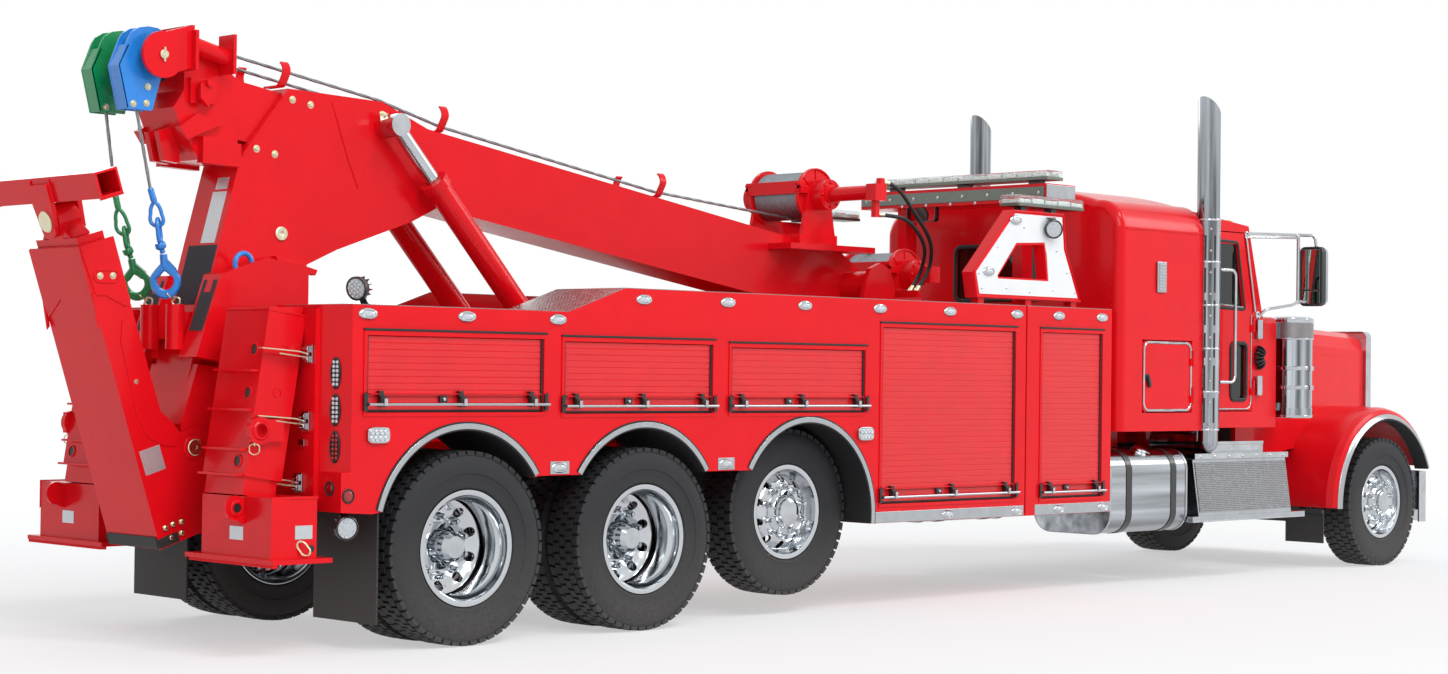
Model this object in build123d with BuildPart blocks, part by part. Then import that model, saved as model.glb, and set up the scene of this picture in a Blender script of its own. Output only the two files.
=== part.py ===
from build123d import *
import os
from math import atan2, cos, degrees, hypot, radians, sin, tan

# A heavy tow truck: sleeper cab and long hood on a five-axle-line chassis, locker bodies on both sides,
# a boom with its own upright and folding underlift, two winches and rear outriggers.
# Millimetres. +X is forward, +Y is left, +Z is up. Stations along the truck are measured ahead of the
# rear drive axle and turned into the part's own x by ahead(), whose zero is mid-length on the ground.

# ---- driving dimensions -------------------------------------------------------------------------
front_overall = 10620.0         # rear axle to the bumper's face
fold_station = -1190.0          # pivot of the underlift arm
fold_z = 1100.0
arm_lean = 17.9                 # rearward lean of the folded underlift arm, from the vertical
swivel_along = 1395.0           # the crossbar's swivel pin, up the arm from its pivot
crossbar_gap = 98.0             # swivel pin to the crossbar's underside
crossbar_size = 140.0
crossbar_near = 198.0           # the crossbar's front face, behind the arm's pivot line
crossbar_far = crossbar_near + crossbar_size
yoke_plate = 26.0
yoke_top = swivel_along + crossbar_gap + crossbar_size - 35
rear_overall = (                # rear axle to the back of the stowed crossbar's yoke
    -fold_station + sin(radians(arm_lean)) * yoke_top + cos(radians(arm_lean)) * (crossbar_far + yoke_plate)
)
mid_length = (front_overall - rear_overall) / 2

drive_axle_gap = 1354.0         # between the two drive axles
pusher_station = 2760.0
steer_station = 9830.0
pusher_lift = 125.0             # the raised pusher wheels clear the ground by this

drive_tyre_radius = 548.0
drive_tyre_width = 280.0
drive_bead_radius = 311.0
twin_gap = 330.0                # centre to centre of twin tyres
twin_outer_y = 1215.0           # outer face of the outer twin
single_tyre_radius = 535.0
single_tyre_width = 295.0
single_bead_radius = 286.0
steer_centre_y = 1035.0
pusher_centre_y = 905.0
running_fit = 0.05              # radial clearance of a hub on its spindle

rail_outer_y = 432.0
rail_flange = 89.0
rail_wall = 9.5
rail_bottom = 730.0
rail_top = 1000.0
rail_rear = -600.0
rail_front = 10400.0

body_half_width = 1240.0
locker_inner_y = 620.0
body_rear = -900.0
body_split = 4945.0
body_front = 5935.0
body_gap = 15.0
deck_top = 2040.0
rear_deck_top = 1890.0
skirt_bottom = 575.0
wheel_bay_bottom = 945.0
arch_radius = 600.0
sheet = 12.0                    # locker wall thickness
cab_wall = 40.0

boom_pivot_station = 4270.0
boom_pivot_z = 2165.0
boom_slope = 9.0                # the boom rises to the rear by this many degrees
boom_half_width = 180.0
boom_extension_half_width = 148.0
boom_side_wall = 25.0

leg_lean = 9.0                  # rearward lean of the outrigger legs
pin_fit = 0.05
slide_fit = 3.0                 # clearance round a sliding box section
soft_gap = 0.3

os.makedirs("parts", exist_ok=True)


def ahead(station):
    """The part's x for a station measured ahead of the rear drive axle."""
    return station - mid_length


def block(x, y, z, mode=Mode.ADD):
    """A rectangular block between two values on each axis, in the piece being built."""
    with Locations((sum(x) / 2, sum(y) / 2, sum(z) / 2)):
        return Box(x[1] - x[0], y[1] - y[0], z[1] - z[0], mode=mode)


def side_plate(outline, y, mode=Mode.ADD):
    """A plate of the given side outline, as (station, z) corners, between two values of y."""
    with BuildSketch(Plane.XZ.offset(-y[1])) as face:
        with BuildLine():
            Polyline([(ahead(s), z) for s, z in outline], close=True)
        make_face()
    extrude(face.sketch, amount=y[1] - y[0], mode=mode)


def side_disc(station, z, radius, y, mode=Mode.ADD):
    """A round boss, pin or bore along Y between two values of y."""
    with BuildSketch(Plane.XZ.offset(-y[1])) as face:
        with Locations((ahead(station), z)):
            Circle(radius)
    extrude(face.sketch, amount=y[1] - y[0], mode=mode)


def bar(start, end, radius):
    """A round bar between two (station, y, z) points."""
    origin = Vector(ahead(start[0]), start[1], start[2])
    run = Vector(ahead(end[0]), end[1], end[2]) - origin
    with BuildSketch(Plane(origin=origin, z_dir=run)) as face:
        Circle(radius)
    extrude(face.sketch, amount=run.length)


def finish(piece, name):
    """Label a finished piece and write it as a STEP file of the same name."""
    piece.part.label = name
    export_step(piece.part, f"parts/{name}.step")
    return piece


def mirrored(piece):
    """The left-hand twin of a right-hand piece."""
    with BuildPart() as twin:
        mirror(piece.part, about=Plane.XZ)
    return twin


hinge_radius = 12.0
hinge_stand_off = 13.0          # a door hinge's axis lies this far outside the door's face
leaf_reach = 26.0
knuckle_length = 60.0


def hinge_knuckles(station, face_y, side, z_values, leaf):
    """Upright hinge barrels just outside a side face, each with a leaf that reaches rearward or forward."""
    axis_y = side * (face_y + hinge_stand_off)
    for z in z_values:
        with Locations((ahead(station), axis_y, z)):
            Cylinder(hinge_radius, knuckle_length)
        y = sorted((side * face_y, side * (face_y + hinge_stand_off)))
        block(sorted((ahead(station), ahead(station + leaf * leaf_reach))), y,
              (z - knuckle_length / 2, z + knuckle_length / 2))


# ---- wheels -------------------------------------------------------------------------------------
def axle_plane(station, z, side, y=0.0):
    """A plane whose first axis runs along +X and whose second runs outboard on the given side."""
    return Plane(origin=(ahead(station), side * y, z), x_dir=(1, 0, 0), z_dir=(0, 0, side))


rim_lip = 19.0                  # the rim's lips stand this far above the bead seat
bead_share = 0.80               # bead width as a share of the tyre's width


def add_tyre(station, z, side, centre_y, radius, width, bead_radius):
    """One tyre as a ring: flat tread, round shoulders, bulged sidewalls, open at the bead."""
    half = width / 2
    bead_half = half * bead_share
    bead_top = bead_radius + rim_lip + 3
    tread_half = half * 0.88
    shoulder = radius * 0.035
    wall_radius = (radius + bead_radius) / 2
    with BuildSketch(axle_plane(station, z, side, centre_y)) as section:
        with BuildLine():
            Line((radius, -tread_half + shoulder), (radius, tread_half - shoulder))
            ThreePointArc(
                (radius, tread_half - shoulder),
                (radius - shoulder * 0.3, tread_half - shoulder * 0.1),
                (radius - shoulder, half * 0.92),
            )
            ThreePointArc((radius - shoulder, half * 0.92), (wall_radius, half), (bead_top, bead_half))
            Polyline((bead_top, bead_half), (bead_radius, bead_half), (bead_radius, -bead_half),
                     (bead_top, -bead_half))
            ThreePointArc((bead_top, -bead_half), (wall_radius, -half), (radius - shoulder, -half * 0.92))
            ThreePointArc(
                (radius - shoulder, -half * 0.92),
                (radius - shoulder * 0.3, -tread_half + shoulder * 0.1),
                (radius, -tread_half + shoulder),
            )
        make_face()
    revolve(section.sketch, axis=Axis((ahead(station), 0, z), (0, 1, 0)))


def spin(station, z, side, outline, mode=Mode.ADD):
    """Revolve an outline of (radius, distance outboard) points about the wheel's axis."""
    with BuildSketch(axle_plane(station, z, side)) as section:
        with BuildLine():
            Polyline(outline, close=True)
        make_face()
    revolve(section.sketch, axis=Axis((ahead(station), 0, z), (0, 1, 0)), mode=mode)


rim_wall = 14.0
disc_thick = 24.0
hub_radius = 140.0
spindle_radius = 45.0
spindle_reach = 60.0            # the hub's bore runs this far past the wheel's middle
hand_hole_radius = 24.0


def add_rim(station, z, side, centre_y, width, bead_radius, disc_y, root_y):
    """One rim with its lips and a dished disc: flat round the hub at disc_y, joining the rim at root_y."""
    half = width / 2 * bead_share
    well = bead_radius - soft_gap
    lip = bead_radius + rim_lip
    lip_thick = 10.0
    inner, outer = centre_y - half, centre_y + half
    spin(
        station, z, side,
        [
            (well - rim_wall, inner - lip_thick), (lip, inner - lip_thick), (lip, inner - soft_gap),
            (well, inner - soft_gap), (well, outer + soft_gap), (lip, outer + soft_gap),
            (lip, outer + lip_thick), (well - rim_wall, outer + lip_thick),
        ],
    )
    flat = hub_radius + 70
    half_disc = disc_thick / 2
    spin(
        station, z, side,
        [
            (hub_radius - 20, disc_y - half_disc), (flat, disc_y - half_disc),
            (well - rim_wall / 2, root_y - half_disc), (well - rim_wall / 2, root_y + half_disc),
            (flat, disc_y + half_disc), (hub_radius - 20, disc_y + half_disc),
        ],
    )
    hole_circle = (flat + bead_radius) / 2 - 12
    with BuildSketch(Plane(origin=(ahead(station), side * disc_y, z), z_dir=(0, side, 0))) as holes:
        with PolarLocations(hole_circle, 10):
            Circle(hand_hole_radius)
    extrude(holes.sketch, amount=90, both=True, mode=Mode.SUBTRACT)


def add_hub(station, z, side, inner_y, outer_y, cap_radius, cap_y, bore_y):
    """The hub drum with its cap, bored from inboard for the spindle or axle tube."""
    spin(
        station, z, side,
        [
            (0, inner_y), (hub_radius, inner_y), (hub_radius, outer_y), (cap_radius, outer_y + 12),
            (cap_radius, cap_y - 15), (cap_radius - 15, cap_y), (0, cap_y),
        ],
    )
    spin(
        station, z, side,
        [(0, inner_y - 1), (spindle_radius + running_fit, inner_y - 1),
         (spindle_radius + running_fit, bore_y), (0, bore_y)],
        mode=Mode.SUBTRACT,
    )


def single_wheel(name, station, z, side, centre_y):
    """A single wheel: one tyre, one outward disc, hub and cap."""
    disc_y = centre_y + 75
    with BuildPart() as wheel:
        add_rim(station, z, side, centre_y, single_tyre_width, single_bead_radius, disc_y, centre_y + 30)
        add_hub(station, z, side, centre_y - 60, disc_y + 20, 95, disc_y + 95, centre_y + spindle_reach)
        add_tyre(station, z, side, centre_y, single_tyre_radius, single_tyre_width, single_bead_radius)
    finish(wheel, "wheel_" + name)


twin_centre_y = twin_outer_y - drive_tyre_width / 2 - twin_gap / 2


def twin_wheel(name, station, side):
    """A twin wheel set: two tyres on two rims whose discs meet on one hub."""
    z = drive_tyre_radius
    with BuildPart() as wheel:
        for out in (-1, 1):
            add_rim(
                station, z, side, twin_centre_y + out * twin_gap / 2, drive_tyre_width, drive_bead_radius,
                twin_centre_y + out * disc_thick / 2, twin_centre_y + out * 75,
            )
        add_hub(
            station, z, side, twin_centre_y - 150, twin_centre_y + disc_thick + 20, 92,
            twin_centre_y + 190, twin_centre_y + spindle_reach,
        )
        for offset in (-twin_gap / 2, twin_gap / 2):
            add_tyre(
                station, z, side, twin_centre_y + offset, drive_tyre_radius, drive_tyre_width,
                drive_bead_radius,
            )
    finish(wheel, "wheels_" + name)


steer_z = single_tyre_radius
pusher_z = single_tyre_radius + pusher_lift
drive_z = drive_tyre_radius
sides = (("right", -1), ("left", 1))
for side_name, side in sides:
    single_wheel(f"steer_{side_name}", steer_station, steer_z, side, steer_centre_y)
    single_wheel(f"pusher_{side_name}", pusher_station, pusher_z, side, pusher_centre_y)
    twin_wheel(f"drive_front_{side_name}", drive_axle_gap, side)
    twin_wheel(f"drive_rear_{side_name}", 0.0, side)

# ---- chassis frame ------------------------------------------------------------------------------
cross_stations = (-560.0, 677.0, 2080.0, 3600.0, 5200.0, 6900.0, 8150.0, 10330.0)
engine_rear, engine_front = 8500.0, 9750.0
engine_half = 320.0
engine_bottom, engine_top = 640.0, 1720.0
mount_stations = (8700.0, 9500.0)

with BuildPart() as chassis_frame:
    for side in (-1, 1):
        web = sorted((side * rail_outer_y, side * (rail_outer_y - rail_wall)))
        flange = sorted((side * rail_outer_y, side * (rail_outer_y - rail_flange)))
        length = (ahead(rail_rear), ahead(rail_front))
        block(length, web, (rail_bottom, rail_top))
        block(length, flange, (rail_bottom, rail_bottom + rail_wall))
        block(length, flange, (rail_top - rail_wall, rail_top))
        for station in mount_stations:
            pad = sorted((side * engine_half, side * (rail_outer_y - rail_wall)))
            block((ahead(station - 90), ahead(station + 90)), pad, (800, 960))
        tail = sorted((side * rail_outer_y, side * (rail_outer_y - 22)))
        side_plate([(-590, 1000), (-700, 1000), (-1010, 700), (-960, 610), (-590, 730)], tail)
    inside = rail_outer_y - rail_wall
    for station in cross_stations:
        block((ahead(station - 40), ahead(station + 40)), (-inside, inside), (800, 940))
finish(chassis_frame, "chassis_frame")

with BuildPart() as engine_block:
    block((ahead(engine_rear), ahead(engine_front)), (-engine_half, engine_half),
          (engine_bottom, engine_top))
finish(engine_block, "engine_block")

# ---- axles --------------------------------------------------------------------------------------
axle_tube_radius = 62.0
hub_face_gap = 6.0


with BuildPart() as rear_axles:
    for station in (0.0, drive_axle_gap):
        for side in (-1, 1):
            spin(
                station, drive_z, side,
                [(0, 0), (axle_tube_radius, 0), (axle_tube_radius, twin_centre_y - 150 - hub_face_gap),
                 (spindle_radius, twin_centre_y - 150 - hub_face_gap),
                 (spindle_radius, twin_centre_y + spindle_reach - hub_face_gap),
                 (0, twin_centre_y + spindle_reach - hub_face_gap)],
            )
            y = sorted((side * (rail_outer_y - 90), side * (rail_outer_y - 10)))
            block((ahead(station - 60), ahead(station + 60)), y, (drive_z, rail_bottom))
        with Locations((ahead(station), 0, drive_z)):
            Sphere(175)
    shaft_tube = Plane(origin=(ahead(0), 0, drive_z + 60), z_dir=(1, 0, 0))
    with BuildSketch(shaft_tube):
        Circle(50)
    extrude(amount=7600)
    for side in (-1, 1):
        spin(
            pusher_station, pusher_z, side,
            [(0, pusher_centre_y - 140), (58, pusher_centre_y - 140),
             (58, pusher_centre_y - 60 - hub_face_gap), (spindle_radius,
                                                         pusher_centre_y - 60 - hub_face_gap),
             (spindle_radius, pusher_centre_y + spindle_reach - hub_face_gap),
             (0, pusher_centre_y + spindle_reach - hub_face_gap)],
        )
        y = sorted((side * (pusher_centre_y - 230), side * (pusher_centre_y - 130)))
        block((ahead(pusher_station - 70), ahead(pusher_station + 70)), y, (400, pusher_z + 70))
        y = sorted((side * (rail_outer_y - 85), side * (rail_outer_y - 5)))
        block((ahead(pusher_station - 60), ahead(pusher_station + 60)), y, (400, rail_bottom))
    block((ahead(pusher_station - 60), ahead(pusher_station + 60)),
          (-pusher_centre_y + 180, pusher_centre_y - 180),
          (400, 500))
finish(rear_axles, "rear_axles")

kingpin_y = 845.0
kingpin_radius = 26.0
boss_radius = 62.0
boss_bottom, boss_top = 440.0, 620.0
beam_bottom, beam_top = 330.0, 440.0

with BuildPart() as steer_axle:
    block((ahead(steer_station - 55), ahead(steer_station + 55)), (-640, 640), (beam_bottom, beam_top))
    for side in (-1, 1):
        riser = sorted((side * 600, side * 700))
        block((ahead(steer_station - 55), ahead(steer_station + 55)), riser, (beam_bottom, boss_top - 20))
        neck = sorted((side * 690, side * kingpin_y))
        block((ahead(steer_station - 50), ahead(steer_station + 50)), neck,
              (boss_bottom + 20, boss_top - 20))
        with Locations((ahead(steer_station), side * kingpin_y, (boss_bottom + boss_top) / 2)):
            Cylinder(boss_radius, boss_top - boss_bottom)
            Cylinder(kingpin_radius + pin_fit, boss_top - boss_bottom, mode=Mode.SUBTRACT)
        leaf = sorted((side * (rail_outer_y - 80), side * rail_outer_y))
        block((ahead(steer_station - 90), ahead(steer_station + 90)), leaf, (beam_top, 640))
        block((ahead(steer_station - 680), ahead(steer_station + 480)), leaf, (600, 640))
        for end in (-650, 450):
            block((ahead(steer_station + end - 35), ahead(steer_station + end + 35)), leaf,
                  (600, rail_bottom))
finish(steer_axle, "steer_axle")

ear_thick = 45.0
ear_gap = 1.0
with BuildPart() as knuckle_right:
    for bottom in (boss_bottom - ear_gap - ear_thick, boss_top + ear_gap):
        with Locations((ahead(steer_station), -kingpin_y, bottom + ear_thick / 2)):
            Cylinder(boss_radius, ear_thick)
        block((ahead(steer_station - 50), ahead(steer_station + 50)), (-kingpin_y - 95, -kingpin_y),
              (bottom, bottom + ear_thick))
    with Locations((ahead(steer_station), -kingpin_y, (boss_bottom + boss_top) / 2)):
        Cylinder(kingpin_radius, boss_top - boss_bottom + 2 * ear_gap + 20)
    block((ahead(steer_station - 60), ahead(steer_station + 60)), (-kingpin_y - 100, -kingpin_y - 70),
          (boss_bottom - ear_gap - ear_thick, boss_top + ear_gap + ear_thick))
    spin(
        steer_station, steer_z, -1,
        [(0, kingpin_y + 80), (58, kingpin_y + 80), (58, steer_centre_y - 60 - hub_face_gap),
         (spindle_radius, steer_centre_y - 60 - hub_face_gap),
         (spindle_radius, steer_centre_y + spindle_reach - hub_face_gap),
         (0, steer_centre_y + spindle_reach - hub_face_gap)],
    )
finish(knuckle_right, "knuckle_right")
knuckle_left = finish(mirrored(knuckle_right), "knuckle_left")

# ---- tanks, steps, bumper, mud flaps ------------------------------------------------------------
tank_rear, tank_front = 5995.0, 6970.0
tank_bottom, tank_top = 400.0, 1010.0
step_rear, step_front = 7130.0, 8410.0
step_top = 970.0
tray_bottom, tray_front = 460.0, 8530.0
step_outline = [(520, 560), (520, step_top), (1140, step_top), (1150, 930), (1128, 925), (1190, 502),
                (1000, 480)]
tank_inner = 500.0
tank_outer = 1190.0

with BuildPart() as fuel_tanks:
    for side in (-1, 1):
        y = sorted((side * tank_inner, side * tank_outer))
        with BuildSketch(Plane.YZ.offset(ahead(tank_rear))):
            with Locations(((y[0] + y[1]) / 2, (tank_bottom + tank_top) / 2)):
                RectangleRounded(tank_outer - tank_inner, tank_top - tank_bottom, 150)
        extrude(amount=tank_front - tank_rear)
        bracket = sorted((side * rail_outer_y, side * (tank_inner + 40)))
        for station in (tank_rear + 150, tank_front - 200):
            block((ahead(station), ahead(station + 60)), bracket, (760, 940))
finish(fuel_tanks, "fuel_tanks")

with BuildPart() as side_steps:
    for side in (-1, 1):
        with BuildSketch(Plane.YZ.offset(ahead(step_rear))) as face:
            with BuildLine():
                Polyline([(side * y, z) for y, z in step_outline], close=True)
            make_face()
        extrude(face.sketch, amount=step_front - step_rear)
        tray = sorted((side * 1000, side * 1240))
        block((ahead(step_rear - 150), ahead(tray_front)), tray, (tray_bottom, tray_bottom + 42))
        upper = sorted((side * 640, side * 1100))
        block((ahead(7420), ahead(8136)), upper, (step_top, 1058))
        bracket = sorted((side * rail_outer_y, side * 520))
        for station in (step_rear + 200, step_front - 260):
            block((ahead(station), ahead(station + 60)), bracket, (760, 940))
finish(side_steps, "side_steps")

bumper_back = 10400.0
bumper_bottom, bumper_top = 350.0, 780.0
hood_hinge_station, hood_hinge_z = 10585.0, 795.0
hood_hinge_y = 320.0
hinge_boss_radius = 20.0
with BuildPart() as bumper:
    with BuildSketch(Plane.XY.offset(bumper_bottom)):
        with BuildLine():
            Polyline([
                (ahead(bumper_back), 1190), (ahead(front_overall - 110), 1190),
                (ahead(front_overall), 1000),
                (ahead(front_overall), -1000), (ahead(front_overall - 110), -1190),
                (ahead(bumper_back), -1190), (ahead(bumper_back), -1178),
                (ahead(front_overall - 116), -1178), (ahead(front_overall - 12), -996),
                (ahead(front_overall - 12), 996), (ahead(front_overall - 116), 1178),
                (ahead(bumper_back), 1178),
            ], close=True)
        make_face()
    extrude(amount=bumper_top - bumper_bottom)
    for side in (-1, 1):
        y = sorted((side * (rail_outer_y - 60), side * (rail_outer_y - 10)))
        block((ahead(rail_front), ahead(front_overall - 11)), y, (bumper_bottom + 60, rail_bottom + 40))
        y = sorted((side * (hood_hinge_y + pin_fit), side * (rail_outer_y - 20)))
        side_disc(hood_hinge_station, hood_hinge_z, hinge_boss_radius, y)
        y = sorted((side * (rail_outer_y - 60), side * (rail_outer_y - 20)))
        block((ahead(hood_hinge_station - 18), ahead(hood_hinge_station + 18)), y,
              (rail_bottom + 40, hood_hinge_z))
finish(bumper, "bumper")

flap_station = -640.0
with BuildPart() as mud_flaps:
    for side in (-1, 1):
        y = sorted((side * 640, side * 1215))
        block((ahead(flap_station), ahead(flap_station + 12)), y, (160, 769.4))
        y = sorted((side * 790, side * 1145))
        block((ahead(8960), ahead(8972)), y, (220, 492))
        y = sorted((side * rail_outer_y, side * 1145))
        block((ahead(8935), ahead(8959.7)), y, (462, 492))
        y = sorted((side * rail_outer_y, side * (rail_outer_y + 30)))
        block((ahead(8935), ahead(8959.7)), y, (462, rail_bottom + 60))
finish(mud_flaps, "mud_flaps")

# ---- cab ----------------------------------------------------------------------------------------
cab_rear, cab_front = 7250.0, 8470.0
cab_half = 1000.0
cab_bottom = 1165.0
cowl_top = 2050.0
roof_rear_z, roof_front_z = 2840.0, 2760.0
screen_foot, screen_head = 8270.0, 8060.0
cab_outline = [
    (cab_rear, cab_bottom), (cab_front, cab_bottom), (cab_front, cowl_top), (screen_foot, cowl_top),
    (screen_head, roof_front_z), (cab_rear, roof_rear_z),
]
cab_inside = [
    (cab_rear + cab_wall, cab_bottom + cab_wall), (cab_front - cab_wall, cab_bottom + cab_wall),
    (cab_front - cab_wall, cowl_top - cab_wall), (screen_foot - cab_wall, cowl_top - cab_wall),
    (screen_head - cab_wall, roof_front_z - cab_wall), (cab_rear + cab_wall, roof_rear_z - cab_wall),
]
door_rear, door_front = 7430.0, 8120.0
door_bottom, door_top = 1300.0, 2700.0
door_gap = 8.0
screen_slope = degrees(atan2(screen_foot - screen_head, roof_front_z - cowl_top))
walk_half, walk_bottom, walk_top = 420.0, 1400.0, 2450.0
door_shape = [
    (door_rear, door_bottom), (door_front, door_bottom), (door_front, 2130), (7985, door_top),
    (door_rear, door_top),
]
door_window = [(7500, 2130), (8000, 2110), (7905, 2610), (7500, 2610)]
low_window = [(7830, 1390), (8035, 1390), (8035, 1825), (7830, 1825)]


def grown(outline, by):
    """The outline with each corner moved out from its middle by the given gap."""
    mid_s = sum(p[0] for p in outline) / len(outline)
    mid_z = sum(p[1] for p in outline) / len(outline)
    return [(s + (by if s > mid_s else -by), z + (by if z > mid_z else -by)) for s, z in outline]


screen_width, screen_height = 840.0, 560.0
door_hinge_station = door_front + 4.0
door_hinge_heights = (1450.0, 1950.0)


def screen_plane(side):
    """The plane of one half of the two-piece windscreen, on its outer face."""
    return Plane(
        origin=(ahead((screen_foot + screen_head) / 2), side * 460, (cowl_top + roof_front_z) / 2),
        x_dir=(0, 1, 0),
        z_dir=(cos(radians(screen_slope)), 0, sin(radians(screen_slope))),
    )


with BuildPart() as cab_shell:
    side_plate(cab_outline, (-cab_half, cab_half))
    fillet(cab_shell.edges().filter_by(Axis.X).group_by(Axis.Z)[-1], 60)
    side_plate(cab_inside, (-cab_half + cab_wall, cab_half - cab_wall), mode=Mode.SUBTRACT)
    for side in (-1, 1):
        y = sorted((side * (cab_half - cab_wall - 20), side * (cab_half + 20)))
        side_plate(grown(door_shape, door_gap), y, mode=Mode.SUBTRACT)
        with BuildSketch(screen_plane(side)):
            RectangleRounded(screen_width, screen_height, 50)
        extrude(amount=90, both=True, mode=Mode.SUBTRACT)
    block((ahead(cab_rear - 20), ahead(cab_rear + cab_wall + 20)), (-walk_half, walk_half),
          (walk_bottom, walk_top), mode=Mode.SUBTRACT)
    for side in (-1, 1):
        y = sorted((side * 350, side * 430))
        for station in (7500, 8200):
            block((ahead(station), ahead(station + 90)), y, (rail_top, cab_bottom))
        y = sorted((side * 760, side * 800))
        block((ahead(8200), ahead(cab_front)), y, (step_top + 8, cab_bottom))
        hinge_knuckles(door_hinge_station, cab_half, side,
                       [z + knuckle_length + pin_fit for z in door_hinge_heights], 1)
finish(cab_shell, "cab_shell")

with BuildPart() as cab_door_right:
    side_plate(door_shape, (-cab_half, -cab_half + cab_wall))
    side_plate(door_window, (-cab_half - 1, -cab_half + cab_wall + 1), mode=Mode.SUBTRACT)
    side_plate(low_window, (-cab_half - 1, -cab_half + cab_wall + 1), mode=Mode.SUBTRACT)
    hinge_knuckles(door_hinge_station, cab_half, -1, door_hinge_heights, -1)
finish(cab_door_right, "cab_door_right")
finish(mirrored(cab_door_right), "cab_door_left")

glass = 6.0
with BuildPart() as door_glass_right:
    for outline in (door_window, low_window):
        side_plate(outline, (-cab_half + cab_wall / 2 - glass / 2, -cab_half + cab_wall / 2 + glass / 2))
finish(door_glass_right, "door_glass_right")
finish(mirrored(door_glass_right), "door_glass_left")

# ---- sleeper ------------------------------------------------------------------------------------
sleeper_rear, sleeper_front = 6155.0, 7215.0
sleeper_half = 1150.0
sleeper_corner = 70.0           # radius of its rear corners
sleeper_bottom = 1150.0
sleeper_eave, sleeper_shoulder, sleeper_crown = 2660.0, 2870.0, 3000.0
bunk_door = (6447.0, 7074.0, 1296.0, 1825.0)
bunk_hinge_station = bunk_door[1] + 4.0
bunk_hinge_heights = (1390.0, 1670.0)
window_half, window_bottom, window_top = 415.0, 2140.0, 2540.0


roof_seam = 2.0
with BuildPart() as sleeper_shell:
    length = (ahead(sleeper_rear), ahead(sleeper_front))
    block(length, (-sleeper_half, sleeper_half), (sleeper_bottom, sleeper_eave))
    fillet(sleeper_shell.edges().filter_by(Axis.Z).group_by(Axis.X)[0], sleeper_corner)
    block((length[0] + cab_wall, length[1] - cab_wall), (-sleeper_half + cab_wall, sleeper_half - cab_wall),
          (sleeper_bottom + cab_wall, sleeper_eave + 1), mode=Mode.SUBTRACT)
    block((ahead(sleeper_front - cab_wall - 20), ahead(sleeper_front + 20)), (-walk_half, walk_half),
          (walk_bottom, walk_top), mode=Mode.SUBTRACT)
    with BuildSketch(Plane.YZ.offset(ahead(sleeper_rear - 20))):
        with Locations((0, (window_bottom + window_top) / 2)):
            RectangleRounded(2 * window_half, window_top - window_bottom, 45)
    extrude(amount=cab_wall + 60, mode=Mode.SUBTRACT)
    for side in (-1, 1):
        y = sorted((side * (sleeper_half - cab_wall - 20), side * (sleeper_half + 20)))
        block(
            (ahead(bunk_door[0] - door_gap), ahead(bunk_door[1] + door_gap)), y,
            (bunk_door[2] - door_gap, bunk_door[3] + door_gap), mode=Mode.SUBTRACT,
        )
        y = sorted((side * 350, side * 430))
        for station in (sleeper_rear + 60, sleeper_front - 180):
            block((ahead(station), ahead(station + 90)), y, (rail_top, sleeper_bottom))
        hinge_knuckles(
            bunk_hinge_station, sleeper_half, side, [z + knuckle_length + pin_fit for z in bunk_hinge_heights], 1,
        )
finish(sleeper_shell, "sleeper_shell")


def roof_section(half, eave, shoulder, crown):
    """The roof cap's cross-section above the eave: round shoulders and a gently crowned top."""
    with BuildLine() as outline:
        Line((-half, eave), (half, eave))
        ThreePointArc((half, eave), (half - 70, (eave + shoulder) / 2 + 40), (half - 250, shoulder))
        ThreePointArc((half - 250, shoulder), (0, crown), (-half + 250, shoulder))
        ThreePointArc((-half + 250, shoulder), (-half + 70, (eave + shoulder) / 2 + 40), (-half, eave))
    make_face(outline.edges())


with BuildPart() as sleeper_roof:
    with BuildSketch(Plane.YZ.offset(ahead(sleeper_rear))):
        roof_section(sleeper_half, sleeper_eave + soft_gap, sleeper_shoulder, sleeper_crown)
    extrude(amount=sleeper_front - sleeper_rear)
    fillet(sleeper_roof.faces().sort_by(Axis.X)[0].edges().sort_by(Axis.Z)[1:], sleeper_corner)
    with BuildSketch(Plane.YZ.offset(ahead(sleeper_rear + cab_wall))):
        roof_section(sleeper_half - cab_wall, sleeper_eave - roof_seam, sleeper_shoulder - cab_wall,
                     sleeper_crown - cab_wall)
    extrude(amount=sleeper_front - sleeper_rear - 2 * cab_wall, mode=Mode.SUBTRACT)
finish(sleeper_roof, "sleeper_roof")

with BuildPart() as bunk_door_right:
    with BuildSketch(Plane.XZ.offset(sleeper_half - cab_wall)):
        with Locations((ahead((bunk_door[0] + bunk_door[1]) / 2), (bunk_door[2] + bunk_door[3]) / 2)):
            RectangleRounded(bunk_door[1] - bunk_door[0], bunk_door[3] - bunk_door[2], 40)
    extrude(amount=cab_wall)
    hinge_knuckles(bunk_hinge_station, sleeper_half, -1, bunk_hinge_heights, -1)
finish(bunk_door_right, "bunk_door_right")
finish(mirrored(bunk_door_right), "bunk_door_left")

with BuildPart() as windows:
    for side in (-1, 1):
        with BuildSketch(screen_plane(side).offset(-25)):
            RectangleRounded(screen_width - 2 * soft_gap, screen_height - 2 * soft_gap, 50)
        extrude(amount=glass)
    with BuildSketch(Plane.YZ.offset(ahead(sleeper_rear + 15))):
        with Locations((0, (window_bottom + window_top) / 2)):
            RectangleRounded(2 * window_half - 0.6, window_top - window_bottom - 0.6, 45)
    extrude(amount=glass)
finish(windows, "windows")

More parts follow.
